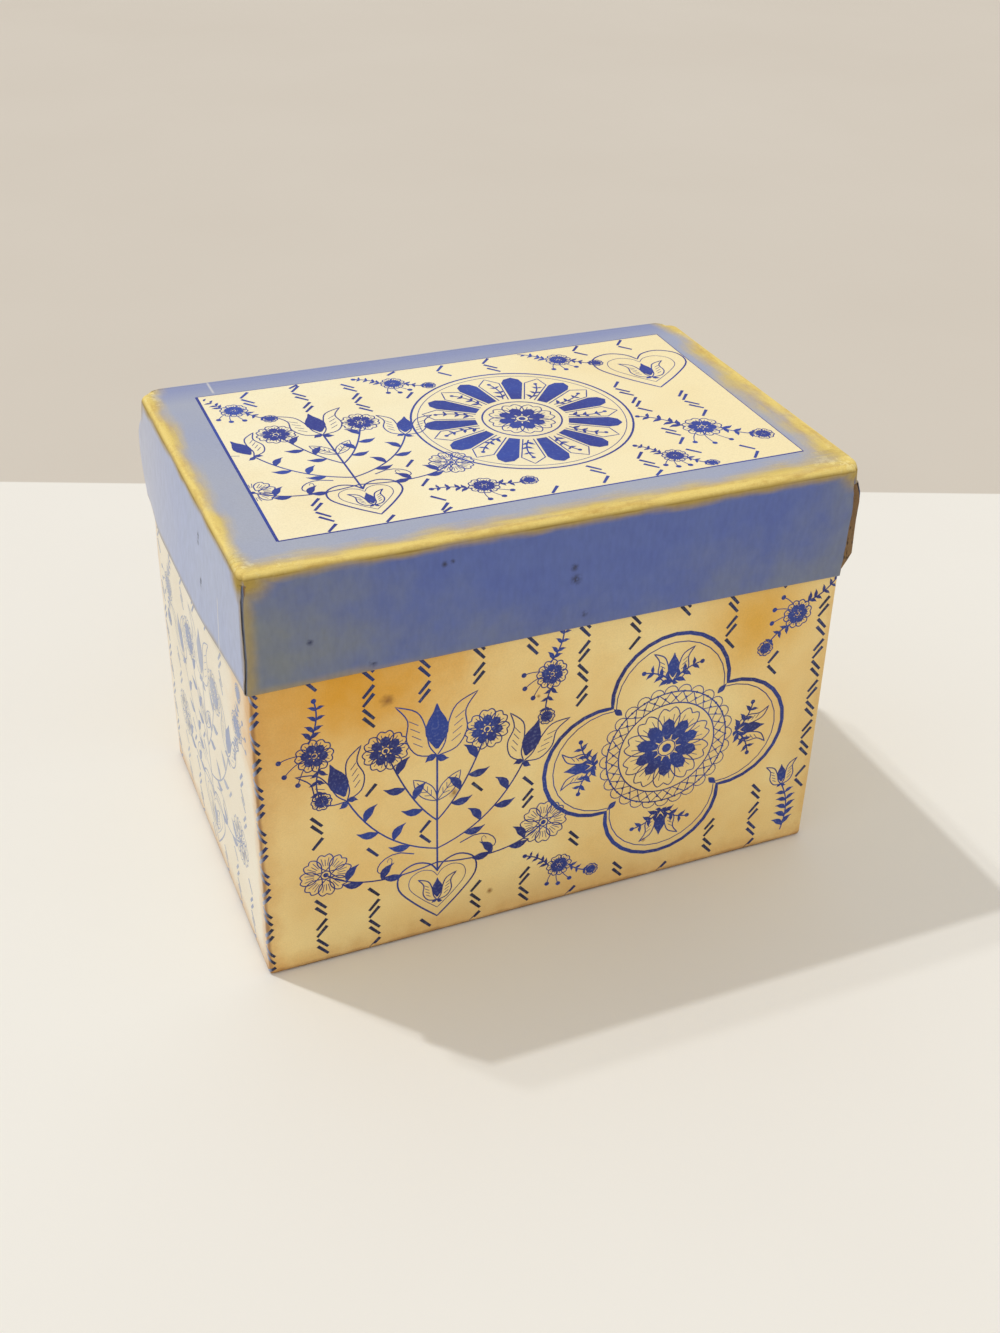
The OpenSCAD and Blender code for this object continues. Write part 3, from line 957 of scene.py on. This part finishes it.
# brown spots: u, v and radius
SPOTS = [(28.5, 68.0, 1.9), (43.5, 40.0, 1.4), (63.0, 61.0, 0.6)]
SPOTS += [(92.0, 12.0, 0.8), (52.5, 8.5, 1.0), (109.0, 25.0, 0.7)]


def cream_paper():
    material, add = new_material("yellowed coated cream paper")
    place, sheet, flat, worn = paper_places(add)
    # painted sheen: a mask for the tray's left end, whose cream is painted paler
    left_sheen_mask = add("MapRange", [flat["X"], 0.4, -0.4])
    past_back = add("MapRange", [flat["X"], CORNERS[3] - 0.4, CORNERS[3] + 0.4])
    left_sheen_mask = add("Math.MULTIPLY", [left_sheen_mask, past_back])
    cloud = add("TexNoise", [place, 32, 4, 0.6])
    blotch = add("TexNoise", [place, 180, 5, 0.62])
    speck = add("TexNoise", [place, 950, 3])
    fibre = add("TexNoise", [place, 3300, 2])

    tone = add("MapRange", [cloud, 0.35, 0.68])
    colour = add("Mix.RGBA", [tone, "#FCE5A2", "#F3CE82"])
    # painted sheen: the paler cream painted on the left end
    pale = add("Mix.RGBA", [tone, "#FBF4E3", "#F4EBD7"])
    colour = add("Mix.RGBA", [left_sheen_mask, colour, pale])
    uneven = add("Math.MULTIPLY_ADD", [cloud, 1.1, -0.55])
    uneven = add("Math.MULTIPLY_ADD", [blotch, 0.4, uneven])
    for stain_u, stain_v, wide, high, strength, tint in STAINS:
        gap = add("VectorMath.SUBTRACT", [sheet, (stain_u, stain_v, 0)])
        gap = add("VectorMath.MULTIPLY", [gap, (1 / wide, 1 / high, 0)])
        gap = add("VectorMath.LENGTH", [gap])
        gap = add("Math.ADD", [gap, uneven])
        stained = add("MapRange.SMOOTHSTEP", [gap, 0.2, 1.25, strength, 0])
        colour = add("Mix.RGBA", [stained, colour, tint])
    spots = None
    for spot_u, spot_v, size in SPOTS:
        gap = add("VectorMath.DISTANCE", [sheet, (spot_u, spot_v, 0)])
        gap = add("Math.MULTIPLY_ADD", [speck, size, gap])
        brown = add("MapRange", [gap, size * 0.5, size * 1.5, 0.95, 0])
        spots = add("Math.MAXIMUM", [spots, brown]) if spots else brown
    colour = add("Mix.RGBA", [spots, colour, "#94611F"])

    # brown corners and foot: a soft yellow zone, and a thin line rubbed through
    ragged = add("Math.MULTIPLY_ADD", [blotch, 2, -1])
    for gap, reach, line in ((worn["X"], 5.0, 0.62), (worn["Y"], 6.5, 1.1)):
        near = add("Math.MULTIPLY_ADD", [ragged, reach * 0.5, gap])
        soft = add("MapRange.SMOOTHSTEP", [near, 0, reach, 0.5, 0])
        colour = add("Mix.RGBA", [soft, colour, "#D49B4A"])
        near = add("Math.MULTIPLY_ADD", [ragged, line * 0.9, gap])
        bare = add("MapRange", [near, line * 0.3, line * 1.3, 0.8, 0])
        colour = add("Mix.RGBA", [bare, colour, "#9A6A35"])
    grain = add("MapRange", [fibre, 0.3, 0.7, 0.95, 1.04])
    colour = add("Mix.RGBA", [1, colour, grain], blend_type="MULTIPLY")

    height = add("Math.MULTIPLY_ADD", [blotch, 1.3, fibre])
    rough = add("MapRange", [cloud, 0, 1, 0.42, 0.6])
    finish_material(add, colour, rough, height, 0.4, 0.0001)
    return material


cream_coated = cream_paper()
for piece in (tray_wrap, bottom_paper):
    piece.data.materials.append(cream_coated)
print("cream paper:", len(cream_coated.node_tree.nodes), "nodes")

# %% [markdown]
# ## Chipboard and kraft paper
# Chipboard is pressed waste paper: grey-brown, matt, with flecks of darker fibre a
# millimetre long. Its plies show as lines along the sheet; its torn edges are darker on
# the box, which this material does not show. Kraft paper is smoother and redder, with fine streaks.

# %% Board and kraft
def pressed_fibre(name, light, dark, fleck, size_mm, strength):
    material, add = new_material(name)
    place = add("TexCoord", out="Object")
    cloud = add("TexNoise", [place, 60, 4])
    pulp = add("TexNoise", [place, 1000 / size_mm, 5, 0.7])
    stretched = add("Mapping", {"Vector": place, "Scale": (1, 1, 0.3)})
    flecks = add("TexNoise", [stretched, 1700, 1])
    flecks = add("MapRange", [flecks, 0.62, 0.72])
    plies = add("TexWave", {"Vector": place, "Scale": 1100, "Distortion": 6, "Detail": 2, "Detail Scale": 0.4})
    tone = add("Math.MULTIPLY_ADD", [pulp, 0.8, add("Math.MULTIPLY_ADD", [cloud, 0.8, -0.3])])
    colour = add("Mix.RGBA", [tone, light, dark])
    colour = add("Mix.RGBA", [flecks, colour, fleck])
    height = add("Math.MULTIPLY_ADD", [plies, 0.35, pulp])
    finish_material(add, colour, 0.88, height, strength, 0.0003, ior=1.47)
    return material


chipboard = pressed_fibre("grey-brown chipboard", "#A2855C", "#77573A", "#4E3A26", 1.2, 0.8)
kraft = pressed_fibre("brown kraft paper", "#B48E5E", "#9C754A", "#7C5A38", 0.8, 0.35)
for piece in (tray_board, lid_board):
    piece.data.materials.append(chipboard)
for piece in (hinge_strip, *stays):
    piece.data.materials.append(kraft)
print("board and kraft:", [len(m.node_tree.nodes) for m in (chipboard, kraft)], "nodes")

# %% [markdown]
# ## A pen for the print
# The real print is line work drawn with a brush and a pen, then printed in one blue ink.
# Here each stroke is a row of points in millimetres on the flat sheet, with a width at
# each point, so a leaf is one short fat stroke and a stem one long thin one. A motif is a
# list of strokes that can be placed, turned and scaled, and used many times.
#
# The strokes become a curve with a square section, the curve becomes a mesh, and each
# point of that mesh is pressed down to a film 0.02 mm off the paper and carried to its
# place by the sheet's own folding function. A picture texture would be quicker, but it
# blurs when seen close, and it would not be part of the model.

# %% Pen
def stroke(points, widths, closed=False):
    """A stroke through points, with one width or a width for each point."""
    if isinstance(widths, (int, float)):
        widths = [widths] * len(points)
    return [(x, y, w) for (x, y), w in zip(points, widths)], closed


def placed(strokes, x, y, turn=0, mirror=False):
    """The strokes turned by turn degrees and moved to x, y, from a mirror image if asked."""
    c, s, flip = math.cos(math.radians(turn)), math.sin(math.radians(turn)), -1 if mirror else 1

    def moved(px, py, w):
        return x + flip * px * c - py * s, y + flip * px * s + py * c, w

    return [([moved(*point) for point in points], closed) for points, closed in strokes]


def divided(points, closed, folds):
    """Adds points so that a stroke follows its sheet: every 2 mm, and every 0.25 mm at a fold."""
    out = []
    for start, end in zip(points, points[1:] + points[:1] if closed else points[1:]):
        low, high = sorted((start[0], end[0]))
        at_fold = any(low - 1.3 < f < high + 1.3 for f in folds)
        length = math.hypot(end[0] - start[0], end[1] - start[1])
        count = max(1, math.ceil(length / (0.25 if at_fold else 2.0)))
        out += [tuple(a + (b - a) * i / count for a, b in zip(start, end)) for i in range(count)]
    return out if closed else out + [points[-1]]


INK_LIFT, INK_HALF = 0.02, 0.004  # mm: how high over the paper the ink is, and half its thickness
THINNEST = 0.03


def printed(name, strokes, fold, body, material, folds=()):
    """Prints strokes on a sheet: a thin film of ink that follows the sheet's folds."""
    curve = bpy.data.curves.new(name, "CURVE")
    curve.dimensions, curve.twist_mode = "3D", "Z_UP"
    curve.bevel_depth, curve.bevel_resolution, curve.use_fill_caps = 1, 0, True
    for points, closed in strokes:
        points = divided(points, closed, folds)
        spline = curve.splines.new("POLY")
        spline.points.add(len(points) - 1)
        for dot, (x, y, w) in zip(spline.points, points):
            dot.co, dot.radius = (x, y, 0, 1), max(w, THINNEST) / 2
        spline.use_cyclic_u = closed
    drawn = bpy.data.objects.new(name + " drawn", curve)
    mesh = bpy.data.meshes.new_from_object(drawn)
    bpy.data.objects.remove(drawn)
    mesh.name = name
    bm = bmesh.new()
    bm.from_mesh(mesh)
    flat = bm.verts.layers.float_vector.new("sheet")
    for vert in bm.verts:
        vert[flat] = (vert.co.x, vert.co.y, 0)
        side = (vert.co.z > 1e-4) - (vert.co.z < -1e-4)
        vert.co = fold(vert.co.x, vert.co.y, INK_LIFT + INK_HALF * side) * MM
    bmesh.ops.recalc_face_normals(bm, faces=bm.faces)
    bm.to_mesh(mesh)
    bm.free()
    mesh.materials.clear()
    mesh.materials.append(material)
    for polygon in mesh.polygons:
        polygon.use_smooth = False
    film = in_scene(name, mesh)
    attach(film, body)
    print(name + ":", len(strokes), "strokes,", sum(len(p.vertices) - 2 for p in mesh.polygons), "triangles")


print("corner lines at", [round(c, 1) for c in CORNERS], "on the tray's sheet")

# %% [markdown]
# ## Folk motifs
# The motifs are traditional ones, as on painted chests and tiles: tulips, hearts, leaf
# sprays, a sun rosette, a tile in a four-lobed frame, and berries. Solid leaves and
# petals give the dark accents, and hairlines the grey ones.

# %% Points and copies
def polar(r, turn, x=0, y=0):
    """The point r mm from x, y, turn degrees round from the right."""
    return x + r * math.cos(math.radians(turn)), y + r * math.sin(math.radians(turn))


def arc(r, start, end, count=24, x=0, y=0):
    """Points on a circle from start to end degrees."""
    return [polar(r, start + (end - start) * i / count, x, y) for i in range(count + 1)]


def bend(p0, p1, p2, count=10):
    """Points on a bow from p0 to p2 that is pulled toward p1."""
    points = []
    for t in [i / count for i in range(count + 1)]:
        points.append(tuple((1 - t) ** 2 * a + 2 * t * (1 - t) * b + t * t * c for a, b, c in zip(p0, p1, p2)))
    return points


def rounded(points, steps=4):
    """A smooth curve through a few points (Catmull-Rom)."""
    out, last = [], len(points) - 1
    for i in range(last):
        near = [points[min(max(i + k, 0), last)] for k in (-1, 0, 1, 2)]
        for t in [j / steps for j in range(steps)]:
            point = []
            for a, b, c, d in zip(*near):
                square, cube = 2 * a - 5 * b + 4 * c - d, 3 * b - a - 3 * c + d
                point.append(0.5 * (2 * b + (c - a) * t + square * t * t + cube * t**3))
            out.append(tuple(point))
    return out + [points[-1]]


def around(count, strokes, r=0, first=0):
    """count copies of the strokes, r mm from the middle, evenly turned round it."""
    turns = [first + 360 * i / count for i in range(count)]
    return [line for turn in turns for line in placed(strokes, *polar(r, turn + 90), turn)]


def both_sides(strokes):
    """The mirror image of the strokes, and the strokes."""
    return placed(strokes, 0, 0, mirror=True) + strokes


# %% Leaves, petals and flowers
def ring(r, w, count=48):
    return [stroke(arc(r, 0, 360, count)[:-1], w, closed=True)]


def outline(half, wide, high, w, up=0):
    """A closed outline, given by its right half from foot to tip, scaled to size."""
    edge = half + [(-x, y) for x, y in half[-2:0:-1]]
    return [stroke([(x * wide, up + y * high) for x, y in edge], w, closed=True)]


def blade(heights, widths):
    """A solid upright shape: one stroke, with a width at each height."""
    return [stroke([(0, y) for y in heights], widths)]


def leaf(length, width, bow=0.25):
    """A solid leaf that starts at 0, 0 and points up."""
    shape = [0.12, 0.6, 0.95, 1.0, 0.72, 0.3, 0.05]
    return [stroke(bend((0, 0), (bow * length, length * 0.5), (0, length), 6), [width * w for w in shape])]


def open_leaf(length, width, veins=3):
    """An outlined leaf with a midrib and side veins."""
    half = rounded([(0, 0), (0.7, 0.22), (1, 0.48), (0.66, 0.78), (0, 1)], steps=3)
    lines = outline(half, width / 2, length, 0.24) + blade((0, length * 0.85), 0.2)
    for i in range(veins):
        y = length * (0.25 + 0.5 * i / veins)
        lines += both_sides([stroke([(0, y), (width * 0.3, y + length * 0.14)], 0.15)])
    return lines


def berry(r):
    return blade([k * r for k in (-1, -0.7, 0, 0.7, 1)], [k * r for k in (0.3, 1.45, 2, 1.45, 0.3)])


def petal(length, width, solid):
    """A notched petal, outlined and shaded with fine lines; solid fills its base."""
    half = rounded([(0, 0), (0.42, 0.35), (0.5, 0.75), (0.28, 1.0), (0, 0.9)], steps=3)
    lines = outline(half, width, length, 0.28)
    for x, y in ((-0.25, 0.78), (0, 0.7), (0.25, 0.78)):
        lines.append(stroke([(x * width * 0.5, length * 0.3), (x * width, length * y)], 0.16))
    if solid:
        lines += blade([length * k for k in (0, 0.3, 0.55, 0.66)], [width * w for w in (0.2, 0.62, 0.5, 0.05)])
    return lines


def daisy(petals, r, solid=True):
    """A flower: petals round a ringed eye."""
    eye = ring(r * 0.2, 0.3, 12) + berry(r * 0.11)
    return eye + around(petals, petal(r * 0.78, r * 5.0 / petals, solid), r * 0.22)


def tulip(h):
    """A tulip that starts at 0, 0 and opens upward: a solid middle, hatched sides."""
    edge = rounded([(0, 0), (0.3, 0.08), (0.46, 0.36), (0.44, 0.7), (0.62, 0.98)])
    edge += rounded([(0.62, 0.98), (0.3, 0.82), (0.17, 0.52), (0.12, 0.2), (0, 0)])[1:-1]
    half = [stroke([(x * h, y * h) for x, y in edge], 0.3, closed=True)]
    for x, y in [(0.02 * i, 0.13 * i) for i in range(4)]:
        half.append(stroke([((0.22 + x) * h, (0.2 + y) * h), ((0.36 + x) * h, (0.3 + y) * h)], 0.16))
    foot = leaf(0.2 * h, 0.12 * h)
    lines = placed(leaf(0.78 * h, 0.36 * h, 0), 0, 0.12 * h) + both_sides(half)
    return lines + placed(foot, 0, 0, 115) + placed(foot, 0, 0, -115)


def spray(length, pairs, size, tip):
    """A bowed stem with leaves on both sides and a flower or berry at its tip."""
    stem = bend((0, 0), (length * 0.2, length * 0.55), (0, length), 12)
    lines = [stroke(stem, 0.34)]
    for i in range(pairs):
        x, y = stem[1 + round(10 * i / pairs)]
        reach = size * (1 - 0.35 * i / pairs)
        lines += placed(leaf(reach, reach * 0.4), x, y, 48 + 6 * i)
        lines += placed(leaf(reach * 0.9, reach * 0.36, -0.25), x, y + 0.3, -52 - 4 * i)
    return lines + placed(tip, 0, length)


def curl(size):
    """A tendril: a spiral that tightens as it goes up."""
    points = []
    for t in [i / 18 for i in range(19)]:
        tight, rise = 1 - 0.75 * t, 1.1 * t**0.5 * (1 - t) + 0.55 * t
        x, y = 0.5 - 0.5 * tight * math.cos(7.5 * t), rise + 0.35 * tight * math.sin(7.5 * t)
        points.append((size * x, size * y))
    return [stroke(points, [0.32 - 0.2 * i / 18 for i in range(19)])]


def heart(size):
    """A double-lined heart with a tulip in it; its foot is at 0, 0."""
    half = rounded([(0, 0), (0.3, 0.3), (0.52, 0.6), (0.5, 0.86), (0.3, 0.98), (0.1, 0.92), (0, 0.78)])
    lines = outline(half, size, size, 0.42) + outline(half, size * 0.72, size * 0.7, 0.18, up=size * 0.15)
    return lines + placed(tulip(size * 0.42), 0, 0.28 * size)


# %% Frames, rosettes and bushes
def lobed(r, w):
    """A four-lobed tile frame: four arcs that end where they meet."""
    out, lobe = r * 0.52, r * 0.48
    meet = out * math.cos(math.pi / 4) + math.sqrt(max(lobe * lobe - out * out / 2, 0))
    span = math.degrees(math.atan2(meet * math.sin(math.pi / 4), meet * math.cos(math.pi / 4) - out))
    points = []
    for turn in (0, 90, 180, 270):
        points += arc(lobe, turn - span, turn + span, 14, *polar(out, turn))[:-1]
    return [stroke(points, w, closed=True)]


def sun(r, rays):
    """A sun rosette: solid and hatched rays by turns, round a daisy."""
    wide = 2 * math.pi * r / rays
    side = wide * 0.36
    solid = blade([r * k for k in (0.42, 0.78, 0.86, 0.9)], [wide * 0.34, wide * 0.7, wide * 0.5, 0.2])
    edge = ((-side * 0.45, r * 0.42), (-side, r * 0.78), (0, r * 0.9), (side, r * 0.78), (side * 0.45, r * 0.42))
    hatched = [stroke(edge, 0.28)] + placed(spray(r * 0.34, 3, r * 0.085, berry(0.5)), 0, r * 0.44)
    lines = ring(r, 0.5, 72) + ring(r * 0.94, 0.18, 72) + ring(r * 0.36, 0.4) + daisy(8, r * 0.3)
    for i in range(rays):
        lines += placed(solid if i % 2 else hatched, 0, 0, 360 * i / rays)
    return lines


def lattice(inner, outer, count):
    """A ring of crossed hairlines between two circles, with a dot in each opening."""
    lines = ring(inner, 0.34, 60) + ring(outer, 0.34, 60)
    step = 360 / count
    for i in range(count):
        for lean in (-1, 1):
            lines.append(stroke([polar(inner, i * step), polar(outer, (i + lean) * step)], 0.22))
        lines += placed(berry(0.34), *polar((inner + outer) / 2, (i + 0.5) * step))
    return lines


def tile(r):
    """A tile: a four-lobed double frame, a lattice ring, and tulips round a flower."""
    arches = [stroke(arc(math.pi * r * 0.5 / 28, 0, 180, 6), 0.24)] + berry(0.32)
    quarter = placed(tulip(r * 0.27), 0, r * 0.6)
    for side in (-1, 1):
        quarter += placed(spray(r * 0.27, 3, r * 0.1, berry(0.6)), 0, r * 0.59, side * 62, mirror=side < 0)
    quarter += placed(leaf(r * 0.1, r * 0.05, 0), *polar(r * 0.56, 135), 45)
    lines = lobed(r, 1.0) + lobed(r * 0.93, 0.25) + lattice(r * 0.4, r * 0.5, 32)
    return lines + daisy(10, r * 0.36) + around(28, arches, r * 0.5, first=-90) + around(4, quarter)


def bush(h):
    """A tulip bush growing out of a heart, the same left and right."""
    lines = heart(h * 0.26) + [stroke(bend((0, h * 0.2), (0, h * 0.5), (0, h * 0.68)), 0.45)]
    lines += placed(tulip(h * 0.22), 0, h * 0.68)
    half = []
    for start, pull, end, flower, turn in (
        (0.3, (0.2, 0.36), (0.3, 0.58), tulip(h * 0.18), -18),
        (0.42, (0.1, 0.52), (0.17, 0.74), daisy(7, h * 0.075), 0),
        (0.24, (0.26, 0.18), (0.38, 0.3), daisy(8, h * 0.085, solid=False), 0),
    ):
        branch = bend((0, start * h), (pull[0] * h, pull[1] * h), (end[0] * h, end[1] * h), 12)
        half += [stroke(branch, 0.38)] + placed(flower, *branch[-1], turn)
        for k in (3, 5, 7, 9):
            half += placed(leaf(h * 0.075, h * 0.03), *branch[k], 35 if k % 4 == 1 else -80)
    half += placed(curl(h * 0.12), 0.08 * h, h * 0.3, -60)
    half += placed(open_leaf(h * 0.13, h * 0.05), 0, h * 0.5, -38)
    return lines + both_sides(half)


def sprig(size):
    """A loose sprig: a daisy, two sprays and berries on hairline stems."""
    lines = daisy(6, size * 0.24) + placed(spray(size * 0.62, 4, size * 0.17, berry(0.6)), 0, size * 0.2, -28)
    lines += placed(spray(size * 0.55, 3, size * 0.16, daisy(5, size * 0.13)), 0, -size * 0.18, 160)
    for x, y in [polar(0.45 * size, turn) for turn in (160, 190, 220)]:
        lines += [stroke(bend((0, 0), (x * 0.5, y * 0.5 + 0.1 * size), (x, y), 6), 0.22)]
        lines += placed(berry(0.62), x, y)
    return lines


def laid_out(motifs):
    """All strokes of a list of (motif, u, v, turn)."""
    return [line for motif, *spot in motifs for line in placed(motif, *spot)]


print("strokes in a tile:", len(tile(28)), "in a bush:", len(bush(60)), "in a sun:", len(sun(25, 20)))

# %% [markdown]
# ## The stripes and the layout
# Behind the motifs run narrow zigzag stripes of paired dashes, 12.2 mm apart, with four
# dashes to a period of 11.6 mm. One stripe lies exactly on the front left corner. The
# stripes stop where a motif stands, as if it lay on top of them.

# %% Stripes
STRIPE_GAP, PERIOD = ROUND / 37, 11.6


def stripe(x, low, high, w, shift=0.0):
    """One zigzag stripe of paired dashes along y."""
    lines, y = [], low - PERIOD + shift % PERIOD
    while y < high:
        for at, way in ((0.0, 1), (2.1, 1), (5.6, -1), (7.7, -1)):
            ends = [(x - way * 1.2, y + at + 2.8), (x + way * 1.2, y + at)]
            if low < y + at + 1.4 < high:
                lines.append(stroke([(px, min(max(py, low), high)) for px, py in ends], [w, w * 0.8]))
        y += PERIOD
    return lines


def clear_of(dashes, drawn, discs, gap=0.5):
    """Keeps the dashes that stay gap mm off every stroke and outside the discs (x, y, radius)."""
    taken = set()
    for points, closed in drawn:
        for x, y, w in divided(points, closed, ()):
            reach = gap + w / 2
            for i in range(math.floor(x - reach), math.ceil(x + reach)):
                for j in range(math.floor(y - reach), math.ceil(y + reach)):
                    taken.add((i, j))
    kept = []
    for points, closed in dashes:
        (x0, y0, _), (x1, y1, _) = points[0], points[-1]
        tries = [(x0 + (x1 - x0) * t, y0 + (y1 - y0) * t) for t in (0, 0.5, 1)]
        if any((math.floor(x), math.floor(y)) in taken for x, y in tries):
            continue
        if not any(math.hypot(x - cx, y - cy) < r for x, y in tries for cx, cy, r in discs):
            kept.append((points, closed))
    return kept


print("stripes", round(STRIPE_GAP, 2), "mm apart")

# %% Ink
def ink(name, dark, light, washed, sheen_tint=None):
    """Offset ink: thin, so the stock tints it, and paler where it was rubbed; a painted sheen makes it paler on
    the tray's left end.
    """
    material, add = new_material(name)
    place = add("TexCoord", out="Object")
    cloud = add("TexNoise", [place, 45, 3])
    grain = add("TexNoise", [place, 1600, 3])
    tone = add("MapRange", [cloud, 0.4, 0.65])
    colour = add("Mix.RGBA", [tone, dark, light])
    thin = add("MapRange", [grain, 0.52, 0.8, 0, 0.3])
    colour = add("Mix.RGBA", [thin, colour, washed])
    if sheen_tint:
        # painted sheen: on the tray's left end the ink is painted paler, like its paper
        u = add("SeparateXYZ", [add("Attribute", out="Vector", attribute_name="sheet")])
        left_sheen_mask = add("MapRange", [u, 0.4, -0.4, 0, 0.9])
        left_sheen_mask = add("Math.MULTIPLY", [left_sheen_mask, add("Math.GREATER_THAN", [u, CORNERS[3]])])
        sheen_ink = add("Mix.RGBA", [tone, washed, sheen_tint])
        colour = add("Mix.RGBA", [left_sheen_mask, colour, sheen_ink])
    finish_material(add, colour, 0.5, grain, 0.2, 0.00005)
    return material


# the last colour of each tray ink is its painted sheen tint for the tray's left end
navy_ink = ink("navy offset ink", "#081038", "#12276A", "#A3AFD0", "#C3C8D5")
blue_ink = ink("blue offset ink", "#0C1C6E", "#1A3C9A", "#A3AFD0", "#C3C8D5")
cobalt_ink = ink("cobalt offset ink", "#0D2790", "#1A42AC", "#6F87CC")
print("inks:", [m.name for m in (navy_ink, blue_ink, cobalt_ink)])

# %% Tray print
front_width, end_width = corner_us[0], corner_us[1] - corner_us[0]
right_middle, left_middle = corner_us[0] + end_width / 2, -end_width / 2
back_middle = corner_us[1] + front_width / 2 - ROUND
tray_motifs = [  # motif, u, v, turn
    (tile(31), 96.0, 38.5, 0),
    (bush(68), 39.5, 5.0, 0),
    (sprig(17), 12.5, 58.0, 20),
    (sprig(15), 127.5, 68.0, -30),
    (sprig(15), 66.0, 66.0, 10),
    (spray(15, 5, 4, tulip(7)), 131.0, 3.5, 6),
    (sprig(13), 70.0, 11.0, 80),
    (bush(70), left_middle, 4.0, 0),
    (sprig(15), left_middle - 33, 58.0, 0),
    (sprig(15), left_middle + 32, 60.0, 180),
    (tile(27), right_middle, 44.0, 0),
    (sprig(15), right_middle - 30, 13.0, -40),
    (sprig(15), right_middle + 31, 12.0, 40),
    (bush(62), back_middle, 4.0, 0),
    (tile(21), back_middle + 43, 44.0, 0),
    (tile(21), back_middle - 43, 44.0, 0),
]
tray_discs = [(96.0, 38.5, 25.0), (right_middle, 44.0, 22.0), (39.5, 15.0, 7.0), (left_middle, 14.0, 7.0)]
tray_discs += [(back_middle + 43, 44.0, 17.0), (back_middle - 43, 44.0, 17.0), (back_middle, 13.0, 6.0)]
stripes = []
for k in range(37):
    x = -k * STRIPE_GAP if k * STRIPE_GAP < ROUND - SEAM_U - 1 else ROUND - k * STRIPE_GAP
    stripes += stripe(x, 0.6, 101.5, 0.85, shift=2.6 + 0.9 * math.sin(3.1 * k))
stripes = clear_of(stripes, laid_out(tray_motifs), tray_discs)
print("tray:", len(stripes), "dashes kept")
FOLD_LINES = CORNERS + [corner_us[1]]


def tray_print_fold(u, v, lift=0):
    """The tray's fold, with what lies in the lap carried to its upper layer."""
    return tray_fold(u + ROUND if u < SEAM_U - ROUND + LAP else u, v, lift)


layers = [("stripes", navy_ink, stripes)]
for name, low, high in (
    ("print_front", 0, front_width),
    ("print_right_end", front_width, corner_us[1]),
    ("print_back", CORNERS[2], -end_width),
    ("print_left_end", -end_width, 0),
):
    layers.append((name, blue_ink, laid_out(motif for motif in tray_motifs if low <= motif[1] < high)))
for name, colour, lines in layers:
    printed("tray_" + name, lines, tray_print_fold, "tray", colour, FOLD_LINES)

# %% Lid print
middle_v = (PANEL_FRONT + PANEL_BACK) / 2
lid_motifs = [
    (sun(25.5, 22), 9.0, middle_v + 1, 0),
    (bush(58), -36.5, PANEL_FRONT + 4, 0),
    (heart(22), 47.5, middle_v + 6, -8),
    (sprig(19), 46.0, middle_v - 17, 70),
    (sprig(13), -52.0, middle_v + 26, 60),
    (sprig(13), 31.0, middle_v + 29, 75),
    (sprig(14), -12.0, middle_v - 27, 100),
    (sprig(12), -12.5, middle_v + 29, 80),
    (sprig(12), 33.0, middle_v - 28, 60),
]


def in_panel(x, y, gap=0.35):
    """Whether a point lies inside the cream panel."""
    skewed = x - PANEL_SKEW * y
    return PANEL_LEFT + gap < skewed < PANEL_RIGHT - gap and PANEL_FRONT + gap < y < PANEL_BACK - gap


lines = []
for k in range(-5, 6):
    shift = 4.0 + 0.8 * math.sin(2.3 * k)
    lines += stripe(1.3 + k * STRIPE_GAP, PANEL_FRONT + 0.4, PANEL_BACK - 0.4, 0.75, shift)
drawn = laid_out(lid_motifs)
lines = clear_of(lines, drawn, [(9.0, middle_v + 1, 26.5), (47.5, middle_v + 17, 9.0)]) + drawn
lines = [(points, closed) for points, closed in lines if all(in_panel(x, y) for x, y, _ in points)]
panel = [(x + PANEL_SKEW * y, y) for y in (PANEL_FRONT, PANEL_BACK) for x in (PANEL_LEFT, PANEL_RIGHT)]
for start, end, w in ((0, 1, 0.42), (1, 3, 0.2), (3, 2, 0.2), (2, 0, 0.65)):
    lines.append(stroke([panel[start], panel[end]], w))
printed("lid_print", lines, lid_fold, "lid", cobalt_ink)
